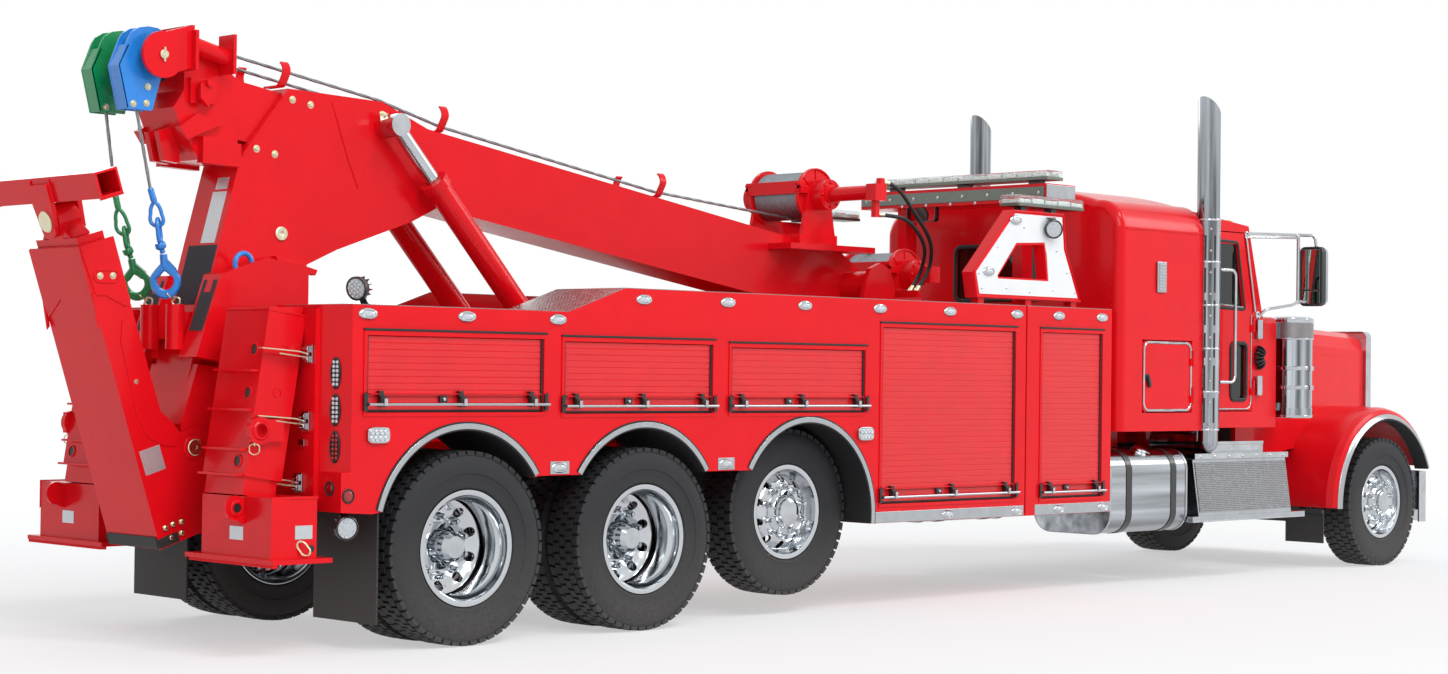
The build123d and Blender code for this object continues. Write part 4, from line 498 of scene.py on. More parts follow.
def rim_mesh(bead, width, offset):
    """A rim with rolled lips, drop centre and open inside, as a closed ring."""
    half = width / 2 * 0.8
    lip, well = bead + 19.0, bead
    outline = [(well - 12, half + 4), (lip - 10, half + 10), (lip - 3, half + 9), (lip, half + 4),
               (lip - 3, half), (well, half - 2), (well - 3, half - 30), (well - 26, half - 62),
               (well - 28, -half + 62), (well - 3, -half + 30), (well, -half + 2), (lip - 3, -half),
               (lip, -half - 4), (lip - 3, -half - 9), (lip - 10, -half - 10), (well - 12, -half - 4),
               (well - 16, -half + 30), (well - 40, -half + 66), (well - 42, half - 66),
               (well - 16, half - 34)]
    form = bmesh.new()
    lathe(form, [(r, offset + y) for r, y in outline], Vector(), steps=72)
    return mesh_from(form, "rim", forged_aluminium, 40.0)


def hub_cover_mesh(base_y, reach, radius, nut_circle):
    """Chromed hub cover with a stepped dome, and a ring of ten tall nut caps round it."""
    form = bmesh.new()
    lathe(form, [(0, base_y), (138, base_y), (138, base_y + 6), (radius + 14, base_y + 16),
                 (radius + 6, base_y + 24), (radius, base_y + reach * 0.55),
                 (radius - 6, base_y + reach * 0.6), (radius - 10, base_y + reach * 0.86),
                 (radius - 30, base_y + reach), (0, base_y + reach)], Vector())
    cover = mesh_from(form, "cover", chrome, 30.0)
    cap = bmesh.new()
    lathe(cap, [(0, base_y - 8), (25, base_y - 8), (25, base_y + 2), (19, base_y + 8), (17, base_y + 52),
                (12, base_y + 62), (0, base_y + 64)], local(0, 0, nut_circle), steps=12)
    return joined([cover, ring_of(mesh_from(cap, "cap", chrome, 40.0), 10)], "hub_cover")


drive_size, single_size = (548.0, 280.0, 311.0), (535.0, 295.0, 286.0)
twin_gap = 330.0
twin_tyres = joined([tyre_mesh(*drive_size, 52, out * twin_gap / 2) for out in (-1, 1)], "twin_tyres")
twin_wheel = joined([rim_mesh(drive_size[2], drive_size[1], out * twin_gap / 2) for out in (-1, 1)]
                    + [disc_mesh(200.0, 24.0, 272.0, 62.0, 226.0, 29.0, 22.0),
                       disc_mesh(200.0, -2.0, 272.0, -62.0, 226.0, 29.0, 20.0)], "twin_wheel")
twin_hub = hub_cover_mesh(26.0, 160.0, 92.0, 168.0)
single_tyre = tyre_mesh(*single_size, 50, 0.0)
single_wheel = joined([rim_mesh(single_size[2], single_size[1], 0.0),
                       disc_mesh(190.0, 86.0, 246.0, 40.0, 214.0, 27.0, 22.0)], "single_wheel")
single_hub = hub_cover_mesh(84.0, 78.0, 95.0, 160.0)
# columns: body, station, side, distance out, height, tyre, wheel and hub meshes
wheel_rows = [("wheels_drive_rear", 0, 910, 548, twin_tyres, twin_wheel, twin_hub),
              ("wheels_drive_front", 1354, 910, 548, twin_tyres, twin_wheel, twin_hub),
              ("wheel_pusher", 2760, 905, 660, single_tyre, single_wheel, single_hub),
              ("wheel_steer", 9830, 1035, 535, single_tyre, single_wheel, single_hub)]
for stem, station, out, z, *meshes in wheel_rows:
    for side_name, side in both_sides:
        body = f"{stem}_{side_name}"
        place = Matrix.Translation(at(station, side * out, z))
        if side == 1:
            place = place @ Matrix.Rotation(math.pi, 4, "Z")
        for label, mesh in zip(("tyre", "rim", "hub_cover"), meshes):
            copy = mesh.copy()
            copy.transform(place)
            made = fit(f"{label}_{body}", copy, body)
            if label == "tyre":
                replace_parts(made, body)

# ---- winch hoses --------------------------------------------------------------------------------
# Two rubber-covered hydraulic hoses loop down from the upper winch's motor to a rail on the boom's
# foot. They are moulded over wire braid, and end in swaged zinc-plated couplings.
hose_routes = {
    "winch_hose_front": ((3890.3, -815, 2860), (4030, -815, 2860), (4250, -800, 2665), (4520, -720, 2500),
                         (4665, -600, 2350), (4638.25, -560, 2228.25), (4538.25, -560, 2128.25)),
    "winch_hose_rear": ((3880.3, -780, 2640), (4000, -780, 2640), (4220, -770, 2625), (4480, -705, 2465),
                        (4620, -565, 2335), (4618.25, -500, 2208.25), (4538.25, -500, 2128.25)),
}
zinc_plate = surface("zinc_plated_steel_passivated", "D9D3B4", 0.3, metallic=1.0, grain=14.0, vary=0.1)
for name, route in hose_routes.items():
    line = bpy.data.curves.new(name, "CURVE")
    line.dimensions = "3D"
    line.bevel_depth = 0.014
    line.bevel_resolution = 4
    line.resolution_u = 12
    line.use_fill_caps = True
    spline = line.splines.new("NURBS")
    spline.points.add(len(route) - 1)
    for point, corner in zip(spline.points, route):
        point.co = (*at(*corner), 1.0)
    spline.order_u = 3
    spline.use_endpoint_u = True
    line.materials.append(rubber)
    hose = bpy.data.objects.new(name, line)
    scene.collection.objects.link(hose)
    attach(hose, "boom")
    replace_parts(hose, "winch_hoses")
    bare = line.copy()
    bare.bevel_depth = 0.0
    bare_line = bpy.data.objects.new("bare_line", bare)
    scene.collection.objects.link(bare_line)
    points = [v.co.copy() for v in bpy.data.meshes.new_from_object(bare_line).vertices]
    bpy.data.objects.remove(bare_line)
    run = sum((b - a).length for a, b in zip(points, points[1:]))
    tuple(points[0])
    ends = bmesh.new()
    for end, toward in ((points[0], points[3]), (points[-1], points[-4])):
        lathe(ends, [(15.2, 4), (19, 6), (19, 34), (17, 36), (17, 62), (15.2, 64)], end, toward - end, 20)
    add(name + "_couplings", ends, zinc_plate, "boom")

# ---- boom and its plates ------------------------------------------------------------------------
# Folded and welded steel plate, bolted wear pads, plated pins and grip tape on the climbing faces.
# Guides of bent flat bar stand at the boom's edges and keep the two wire ropes on its top.
grip_tape = surface("grip_tape_gritted", "3A3D42", 0.95, grain=2.4, vary=0.35, bump=0.7)
blank_plate = surface("label_plate_blank_anodised", "C9CED0", 0.35, metallic=0.6, grain=30.0, vary=0.03)
black_enamel = surface("black_enamel_sprayed", "17181A", 0.3, grain=50.0, vary=0.12, coat=0.3)


def rounded(path, radius, steps=5):
    """The same points with each corner eased over radius millimetres."""
    made = [Vector(path[0])]
    for before, corner, after in zip(path, path[1:], path[2:]):
        start = corner + (before - corner).normalized() * radius / 1000
        end = corner + (after - corner).normalized() * radius / 1000
        made += [start.lerp(corner, k / steps).lerp(corner.lerp(end, k / steps), k / steps)
                 for k in range(steps + 1)]
    return made + [Vector(path[-1])]


def tube(form, path, radius, sides=12, across=None):
    """A round bar through some points, or with across a flat one of (width, thickness, width's direction)."""
    outline = [(radius * math.cos(math.tau * k / sides), radius * math.sin(math.tau * k / sides))
               for k in range(sides)]
    if across:
        outline = [(sx * across[0] / 2, sy * across[1] / 2) for sx, sy in ((-1, -1), (1, -1), (1, 1),
                   (-1, 1))]
    rings, side = [], None
    for i, point in enumerate(path):
        back = (point - path[i - 1]).normalized() if i else (path[1] - point).normalized()
        front = (path[i + 1] - point).normalized() if i + 1 < len(path) else back
        along = (back + front).normalized()
        side = Vector(across[2]) if across else (side or along.orthogonal())
        side = (side - along * side.dot(along)).normalized()
        up = along.cross(side)
        stretch = 1 / max(along.dot(front), 0.4) if across else 1
        rings.append([point + (side * a + up * b * stretch) / 1000 for a, b in outline])
    weave(form, rings)


def boom_top(station):
    """Height of the boom's top, which falls nine degrees toward the cab."""
    return 2909 - math.tan(math.radians(9)) * (station - 1018)


def bolt_shape(radius, material):
    """A low hexagon bolt head on its washer, facing -Y, for setting out."""
    form = bmesh.new()
    lathe(form, [(0, -1), (radius * 1.5, -1), (radius * 1.5, 1.5), (0, 1.5)], Vector(), steps=10)
    lathe(form, [(0, 1), (radius, 1), (radius, radius * 0.7), (radius * 0.8, radius * 0.85),
                 (0, radius * 0.85)], Vector(), steps=6)
    return mesh_from(form, "bolt", material, 20.0)


# columns: station and height of each bolt on the boom's side
boom_bolts = ((-507, 3088), (-381, 3069), (-748, 2788), (-623, 2766))
rows = [(at(s, side * 180, z), (0, 0, 0 if side < 0 else 180)) for s, z in boom_bolts for side in (-1, 1)]
fit("boom_pad_bolts", set_out(bolt_shape(15, zinc_plate), rows), "boom")

finger = bmesh.new()
for station in (560.0, 2380.0):
    for side in (-1, 1):
        top = boom_top(station) + 5
        path = [at(station, side * 60, top), at(station, side * 186, top),
                at(station + 10, side * 232, top + 92), at(station + 10, side * 214, top + 138),
                at(station + 10, side * 196, top + 148)]
        tube(finger, rounded(path, 20), 0, across=(52, 10, (1, 0, 0)))
for side in (-1, 1):
    path = [at(-600, side * 60, 3156), at(-600, side * 200, 3156), at(-590, side * 240, 3240),
            at(-590, side * 222, 3282), at(-590, side * 204, 3292)]
    tube(finger, rounded(path, 20), 0, across=(52, 10, (1, 0, 0)))
add("rope_guides", finger, red_enamel, "boom", bevel=2.0)

plate = bmesh.new()
for side in (-1, 1):
    y = (side * 180, side * 186)
    prism(plate, [(-539, 3148), (-851, 2744), (-830, 2744), (-515, 3148)], (side * 180, side * 190))
    prism(plate, [(-231, 3095), (-62, 3072), (43, 2780), (-35, 2600), (-120, 2790)], y)
    prism(plate, [(-640, 2182), (-599, 2124), (-360, 2080), (-345, 2112)], (side * 180, side * 226))
add("boom_side_plates", plate, red_enamel, "boom", bevel=2.5)

keeper = bmesh.new()
for side in (-1, 1):
    ring = [(145 + 62 * math.cos(a), 2985 + 62 * math.sin(a)) for a in
            (math.radians(170 + k * 17) for k in range(17))]
    prism(keeper, ring + [(95, 3070), (70, 3062)], (side * 229, side * 239))
    lathe(keeper, [(0, 0), (20, 0), (20, 14), (16, 18), (0, 18)], at(145, side * 239, 2985), (0, side, 0), 20)
    lathe(keeper, [(0, 0), (13, 0), (13, 10), (0, 12)], at(92, side * 239, 3052), (0, side, 0), 6)
    lathe(keeper, [(0, 0), (42, 0), (42, 8), (36, 12), (14, 12), (10, 8), (0, 8)], at(-572, side * 180, 2312),
          (0, side, 0), 32)
add("pin_keepers", keeper, zinc_plate, "boom", bevel=1.5)


def rear_x(z):
    """Station of the upright's rear face at a height."""
    for (s0, z0), (s1, z1) in zip(((-851, 2746), (-988, 2237), (-1086, 1864)), ((-988, 2237), (-1086, 1864),
                                                                               (-1195, 1400))):
        if z >= z1:
            return s0 + (s1 - s0) * (z - z0) / (z1 - z0)


pads = bmesh.new()
for low, high in ((1895, 2060), (2060, 2232)):
    prism(pads, [(rear_x(low), low), (rear_x(high), high), (rear_x(high) - 3, high), (rear_x(low) - 3, low)],
          (-165, 120))
for side in (-1, 1):
    for low, high, y in ((1745, 2030, (205, 232)), (1745, 2030, (300, 335)), (1745, 1960, (232, 300))):
        ends = [(-1240 + 155 * (z - 1600) / 460, z) for z in (low, high)]
        prism(pads, [ends[0], ends[1], (ends[1][0] - 3, high), (ends[0][0] - 3, low)],
              sorted(side * v for v in y))
add("grip_pads", pads, grip_tape, "boom", bevel=0.8)
labels = bmesh.new()
for low, high, y in ((2553, 2621, (-121, -6)), (2245, 2540, (-130, 10))):
    prism(labels, [(rear_x(low), low), (rear_x(high), high), (rear_x(high) - 2, high),
                   (rear_x(low) - 2, low)], y)
add("blank_plates", labels, blank_plate, "boom", bevel=0.5)

# ---- wire ropes and winch drums -----------------------------------------------------------------
# Galvanised six-strand wire rope, 19 mm, wound in even turns on each drum under a clamping bar, led
# over the boom and its sheaves, and down to the hooks. Both drums carry ribbed cast flanges.
rope_size = 19.0
wire_rope = surface("galvanised_wire_rope_laid", "868B90", 0.45, metallic=0.85, grain=7.0, vary=0.35,
                    bump=0.9)


def rope_mesh(name, path):
    """A laid rope along a path: six lobes that turn once in every six diameters."""
    form = bmesh.new()
    length, rings, side, fine = 0.0, [], None, []
    for a, b in zip(path, path[1:]):
        count = max(2, round((b - a).length / 0.022))
        fine += [a.lerp(b, k / count) for k in range(count)]
    fine.append(path[-1])
    for i, point in enumerate(fine):
        along = (fine[min(i + 1, len(fine) - 1)] - fine[max(i - 1, 0)]).normalized()
        side = side or along.orthogonal()
        side = (side - along * side.dot(along)).normalized()
        up = along.cross(side)
        if i:
            length += (point - fine[i - 1]).length
        ring = []
        for k in range(12):
            angle = math.tau * k / 12 + length / (6 * rope_size / 1000) * math.tau / 6
            r = rope_size / 2 * (1.0 if k % 2 else 0.84)
            ring.append(point + (side * math.cos(angle) + up * math.sin(angle)) * r / 1000)
        rings.append(ring)
    weave(form, rings)
    return mesh_from(form, name, wire_rope, 60.0)


def place_mesh(name, mesh):
    """A finished mesh as an object that no body carries yet."""
    made = bpy.data.objects.new(name, mesh)
    scene.collection.objects.link(made)
    return made


sheave_s, sheave_z = -1430, 3250
for name, y, start_y, start_s, start_z, hook_top in (
    ("right", -140, -60, 3800, 2628, (-1413, -140, 2527)),
    ("left", 140, 60, 3640, boom_top(3640) + 14, (-1461, 140, 2499)),
):
    over = [at(sheave_s - 142 * math.sin(a), y, sheave_z + 142 * math.cos(a)) for a in
            (math.radians(-9 + 99 * k / 8) for k in range(9))]
    run = [at(start_s, start_y, start_z), at(2400, y * 0.9, boom_top(2400) + 44),
           at(600, y, boom_top(600) + 46), at(132, y, 3142)]
    rope = place_mesh(f"wire_rope_{name}", rope_mesh("rope", run + over))
    at(132, y, 3100)
    at(-1250, y, 3300)
    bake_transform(rope)
    fall = place_mesh(f"rope_fall_{name}", rope_mesh("fall", [at(-1572, y, 3249), at(*hook_top)]))
    at(*hook_top)
    at(-1572, y, 3240)
    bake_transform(fall)
lead = place_mesh("wire_rope_lower_lead", rope_mesh("lead", [at(4790, 60, 2433), at(4180, 60, 2424)]))
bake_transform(lead)

drum_turns = 23
for name, body, station, z, reach in (("upper", "winch_drum_upper", 3850, 2790, 166),
                                      ("lower", "winch_drum_lower", 4800, 2270, 162)):
    pitch = 424 / drum_turns
    profile = [(120, -212), (120, 212)]
    for k in range(drum_turns):
        left = 212 - k * pitch
        profile += [(reach - 6, left), (reach - 1.5, left - pitch * 0.22), (reach, left - pitch * 0.5),
                    (reach - 1.5, left - pitch * 0.78)]
    profile.append((reach - 6, -212))
    form = bmesh.new()
    lathe(form, profile, at(station, 0, z), steps=56)
    add(f"rope_turns_{name}", form, wire_rope, body, smooth=50.0)
    ribs = bmesh.new()
    for side in (-1, 1):
        for k in range(8):
            turn = math.tau * k / 8
            out = Vector((math.cos(turn), 0, math.sin(turn)))
            across_rib = Vector((-math.sin(turn), 0, math.cos(turn)))
            inner = at(station, side * 230, z) + out * 0.110
            tube(ribs, [inner, inner + out * 0.072], 0, across=(9, 14, across_rib))
        lathe(ribs, [(178, 0), (190, 0), (190, 9), (186, 12), (180, 12), (178, 8)],
              at(station, side * 230, z), (0, side, 0), 56)
    add(f"flange_ribs_{name}", ribs, red_enamel, body)
    seat = "boom" if name == "upper" else "truck"
    guard = bmesh.new()
    slab(guard, (station - 196, station - 184), (-262, 262), (z + 4, z + 92))
    for side in (-1, 1):
        slab(guard, (station - 196, station - 40), outboard(side, 236, 262), (z + 8, z + 62))
        lathe(guard, [(58, 0), (62, 4), (62, 12), (0, 12), (0, 0)], at(station, side * 374, z),
              (0, side, 0), 28)
    add(f"winch_guard_{name}", guard, red_enamel, seat, bevel=2.5)
    studs = [(at(station - 197, side * y, z + h), (0, 0, -90)) for side in (-1, 1) for y in (225, 252)
             for h in (24, 72)]
    motor_end = 840 if name == "upper" else 520
    ring_rows = []
    for out, r, count in ((378, 84, 8), (motor_end - 96, 44, 6)):
        ring_rows += [(at(station + r * math.cos(math.tau * k / count), -out,
                          z + r * math.sin(math.tau * k / count)), (0, 0, 0)) for k in range(count)]
    fit(f"winch_bolts_{name}", set_out(bolt_shape(9, red_enamel), studs + ring_rows), seat)

# ---- sheave heads and hooks ---------------------------------------------------------------------
# Flame-cut sheave cheeks with a bent rear cover, painted green on the left and blue on the right so
# that rope and hook can be told apart; each swivel hook is forged, painted, and parked in its ring.
blue_enamel = surface("blue_enamel_sprayed", "1E86E0", 0.3, grain=60.0, vary=0.06, coat=0.4)
green_enamel = surface("green_enamel_sprayed", "0A8F52", 0.3, grain=60.0, vary=0.06, coat=0.4)
turned_steel = surface("steel_turned_oiled", "6E7276", 0.35, metallic=1.0, grain=12.0, vary=0.15)


def loop(form, top, bottom, wide, radius, pinch=1.0, sides=10, steps=28):
    """A closed link of round bar between two points, wide millimetres across along a given direction."""
    run = bottom - top
    width = wide[1].normalized() * wide[0] / 2000
    along = run.normalized()
    middle, reach = (top + bottom) / 2, run.length / 2
    rings = []
    normal = width.normalized().cross(along)
    for k in range(steps):
        a = math.tau * k / steps
        shape = pinch + (1 - pinch) * (1 - math.cos(a)) / 2
        belly = shape * (1.0 + 0.18 * abs(math.sin(2 * a)))
        point = middle - along * reach * math.cos(a) + width * math.sin(a) * belly
        tangent = (along * reach * math.sin(a) + width * math.cos(a) * shape).normalized()
        inward = normal.cross(tangent)
        rings.append([point + (normal * math.cos(math.tau * j / sides)
                               + inward * math.sin(math.tau * j / sides)) * radius / 1000
                      for j in range(sides)])
    weave(form, rings, looped=True)


for name, y, paint, chain in (
    ("right", -140, blue_enamel, ((-1413, 2527), (-1382, 2442), (-1362, 2330), (-1342, 2215), (-1322, 2165),
                                  (-1296, 1920), (-1248, 1890))),
    ("left", 140, green_enamel, ((-1461, 2499), (-1438, 2410), (-1400, 2290), (-1376, 2190), (-1352, 2145),
                                 (-1296, 1915), (-1248, 1890))),
):
    cheeks = bmesh.new()
    outline = [(-1600, 3330), (-1578, 3365), (-1530, 3396), (-1470, 3408), (-1410, 3404), (-1362, 3380),
               (-1330, 3340), (-1332, 3260), (-1390, 3120), (-1440, 2945), (-1600, 2945), (-1658, 3180)]
    for out in (-1, 1):
        prism(cheeks, outline, sorted((y + out * 42, y + out * 54)))
        lathe(cheeks, [(28.5, 0), (74, 0), (74, 6), (66, 10), (28.5, 10)],
              at(sheave_s, y + out * 54, sheave_z), (0, out, 0), 32)
    prism(cheeks, [(-1600, 3300), (-1656, 3180), (-1598, 2947), (-1586, 2950), (-1644, 3180), (-1588, 3296)],
          (y - 54, y + 54))
    add(f"sheave_head_{name}", cheeks, paint, "boom_extension", bevel=2.5)
    wheel = bmesh.new()
    lathe(wheel, [(29, -30), (60, -30), (60, -14), (118, -12), (150, -26), (150, -22), (133, 0), (150, 22),
                  (150, 26), (118, 12), (60, 14), (60, 30), (29, 30)], at(sheave_s, y, sheave_z), (0, 1, 0),
          56)
    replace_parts(add(f"sheave_{name}", wheel, turned_steel, "boom_extension"),
                "sheave_heads")
    rows = [(at(s, y + out, z), (0, 0, turn)) for out, turn in ((-55, 0), (55, 180))
            for s, z in ((-1470, 3075), (-1478, 2985), (-1560, 2975))]
    fit(f"sheave_bolts_{name}", set_out(bolt_shape(13, zinc_plate), rows), "boom_extension")

    sleeve_top, sleeve_low, thimble_low, link_low, pin, bottom, eye = (at(s, y, z) for s, z in chain)
    broad, deep = Vector((0.72, -0.69, 0.0)), Vector((0.69, 0.72, 0.0))
    hook = bmesh.new()
    lathe(hook, [(0, 0), (12, 0), (17, 8), (18, 70), (14, (sleeve_low - sleeve_top).length * 1000), (0, 88)],
          sleeve_top, sleeve_low - sleeve_top, 20)
    loop(hook, sleeve_low + Vector((0, 0, 0.008)), thimble_low - Vector((0, 0, 0.012)), (84, broad), 11,
         pinch=0.45)
    loop(hook, thimble_low + Vector((0, 0, 0.030)), link_low + Vector((0, 0, 0.004)), (66, deep), 12)
    axis = pin - link_low
    lathe(hook, [(0, -14), (26, -14), (30, -6), (30, 14), (24, 22), (15, 26), (15, 48), (0, 48)], link_low,
          axis, 24)
    down = (bottom - pin).normalized()
    wide = (broad - down * broad.dot(down)).normalized()
    reach = (bottom - pin).length
    outer, inner = [], []
    for k in range(25):
        a = math.radians(-168 + 336 * k / 24)
        centre = pin + down * reach * 0.58
        width = 0.086 * (1 - max(abs(a) - math.radians(100), 0) / 1.5)
        thick = 0.56 if abs(a) < math.radians(110) else 0.44
        deepest, widest = down * reach * 0.43 * math.cos(a), wide * width * math.sin(a)
        outer.append(centre + deepest + widest)
        inner.append(centre + (deepest + widest) * thick - down * reach * 0.015)
    across = wide.cross(down)
    rings = []
    for a, b in zip(outer, inner):
        middle = (a + b) / 2
        rings.append([p + across * t / 1000 for p, t in
                      ((a, 9), (a.lerp(middle, 0.4), 18), (b.lerp(middle, 0.4), 18), (b, 9), (b, -9),
                       (b.lerp(middle, 0.4), -18), (a.lerp(middle, 0.4), -18), (a, -9))])
    weave(hook, rings)
    tube(hook, [pin, pin + down * 0.07], 21, 16)
    latch = [pin + down * 0.030 + wide * 0.004, pin + down * 0.09 + wide * 0.052, pin + down * 0.15
             + wide * 0.066]
    tube(hook, latch, 0, across=(34, 24, across))
    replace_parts(add(f"swivel_hook_{name}", hook, paint, "boom", smooth=42.0), "rope_hooks")
    keep = bmesh.new()
    loop(keep, bottom + Vector((0, 0, 0.034)), eye + Vector((0.0, 0, 0.022)), (66, deep), 4.5)
    loop(keep, eye + Vector((0.012, 0, 0.040)), eye + Vector((0.013, 0, -0.004)), (40, broad), 5.5)
    add(f"parking_ring_{name}", keep, zinc_plate, "boom")
    sheave_pin = bmesh.new()
    lathe(sheave_pin, [(0, 0), (27, 0), (27, 12), (22, 16), (0, 16)], at(sheave_s, y * 2.036, sheave_z),
          (0, y, 0), 28)
    if name == "right":
        slab(sheave_pin, (-1436, -1424), (-300, -286), (3210, 3290))
    add(f"sheave_pin_{name}", sheave_pin, zinc_plate, "boom_extension", bevel=1.0)

# ---- locker bodies ------------------------------------------------------------------------------
# Sprayed sheet lockers with aluminium roller shutters painted to match, black rubber seals, a
# stainless lift bar on each shutter, polished arch trims, oval LED lamps and tread plate on top.
clear_lens = surface("clear_lens_polycarbonate_moulded", "C9CFD3", 0.12, metallic=0.25, grain=9.0, vary=0.14,
                     bump=0.5)
red_lens = surface("red_lens_polycarbonate_moulded", "9C0A14", 0.12, grain=9.0, vary=0.3, bump=0.5, coat=0.6)
amber_lens = surface("amber_lens_polycarbonate_moulded", "F08A10", 0.15, grain=9.0, vary=0.12, coat=0.5)
stainless = surface("stainless_steel_brushed", "B2B5B8", 0.22, metallic=1.0, grain=6.0, vary=0.08)
shutter_enamel = surface("red_enamel_on_aluminium_slats", "DE101B", 0.34, grain=160.0, vary=0.04, coat=0.25)


lozenge_pitch = 0.028


def tread_plate(name, hex_colour, lie):
    """Bright chequer plate: raised lozenges in rows, every other one leaning the other way, with painted
    shade darkening the flat plate between them.
    """
    made = surface(name, hex_colour, 0.24, metallic=0.95, grain=40.0, vary=0.08)
    tree = made.node_tree
    place = node(tree, "ShaderNodeTexCoord").outputs["Object"]
    turned = node(tree, "ShaderNodeMapping", Vector=place, Rotation=lie)
    flat = node(tree, "ShaderNodeSeparateXYZ", Vector=turned.outputs[0])
    raised = None
    for operations, start in ((("ADD", "SUBTRACT"), 0.0), (("SUBTRACT", "ADD"), math.pi)):
        waves = []
        for operation in operations:
            line = node(tree, "ShaderNodeMath", {"operation": operation}, in_0=flat.outputs[0],
                        in_1=flat.outputs[1])
            turn = node(tree, "ShaderNodeMath", {"operation": "MULTIPLY_ADD"}, in_0=line.outputs[0],
                        in_1=math.tau / lozenge_pitch, in_2=start)
            waves.append(node(tree, "ShaderNodeMath", {"operation": "COSINE"},
                              in_0=turn.outputs[0]).outputs[0])
        both = node(tree, "ShaderNodeMath", {"operation": "MULTIPLY_ADD"}, in_0=waves[1], in_1=0.35,
                    in_2=product(tree, waves[0], 0.85))
        lump = node(tree, "ShaderNodeMapRange", {"interpolation_type": "SMOOTHSTEP"}, Value=both.outputs[0],
                    From_Min=0.55, From_Max=0.95, To_Min=0.0, To_Max=1.0)
        if raised:
            raised = node(tree, "ShaderNodeMath", {"operation": "MAXIMUM"}, in_0=raised.outputs[0],
                          in_1=lump.outputs[0])
        else:
            raised = lump
    relief = node(tree, "ShaderNodeBump", Height=raised.outputs[0], Strength=1.0, Distance=0.004)
    shader = tree.nodes["Principled BSDF"]
    # Painted shade: the flat plate between the lozenges is darkened to 0.42 of its colour, and the raised
    # tops keep theirs.
    hollow_shade = node(tree, "ShaderNodeMapRange", Value=raised.outputs[0], To_Min=0.42, To_Max=1.0)
    hollow_shaded_colour = node(tree, "ShaderNodeMix", {"data_type": "RGBA", "blend_type": "MULTIPLY"}, in_0=1.0,
               in_6=shader.inputs["Base Color"].links[0].from_socket, in_7=hollow_shade.outputs[0])
    tree.links.new(hollow_shaded_colour.outputs[2], shader.inputs["Base Color"])
    tree.links.new(relief.outputs[0], shader.inputs["Normal"])
    return made


deck_tread = tread_plate("aluminium_tread_plate_rolled", "C9CBCC", (0.0, 0.0, 0.0))


def upward(tree, start):
    """Count points from the origin up, Step apart."""
    index = node(tree, "GeometryNodeInputIndex").outputs[0]
    lifted = node(tree, "ShaderNodeCombineXYZ", Z=product(tree, index, start["Step"]))
    spots = node(tree, "GeometryNodePoints", Count=start["Count"], Position=lifted.outputs[0])
    return {"Points": spots.outputs[0]}


stack_tree = copying_tree("stacked_up", (("Count", "Int"), ("Step", "Float")), upward)


def stacked(shape, count, step):
    """A shape's mesh repeated upward, step millimetres apart."""
    return grow(stack_tree, shape, bpy.data.meshes.new("empty"), Count=count, Step=step / 1000)


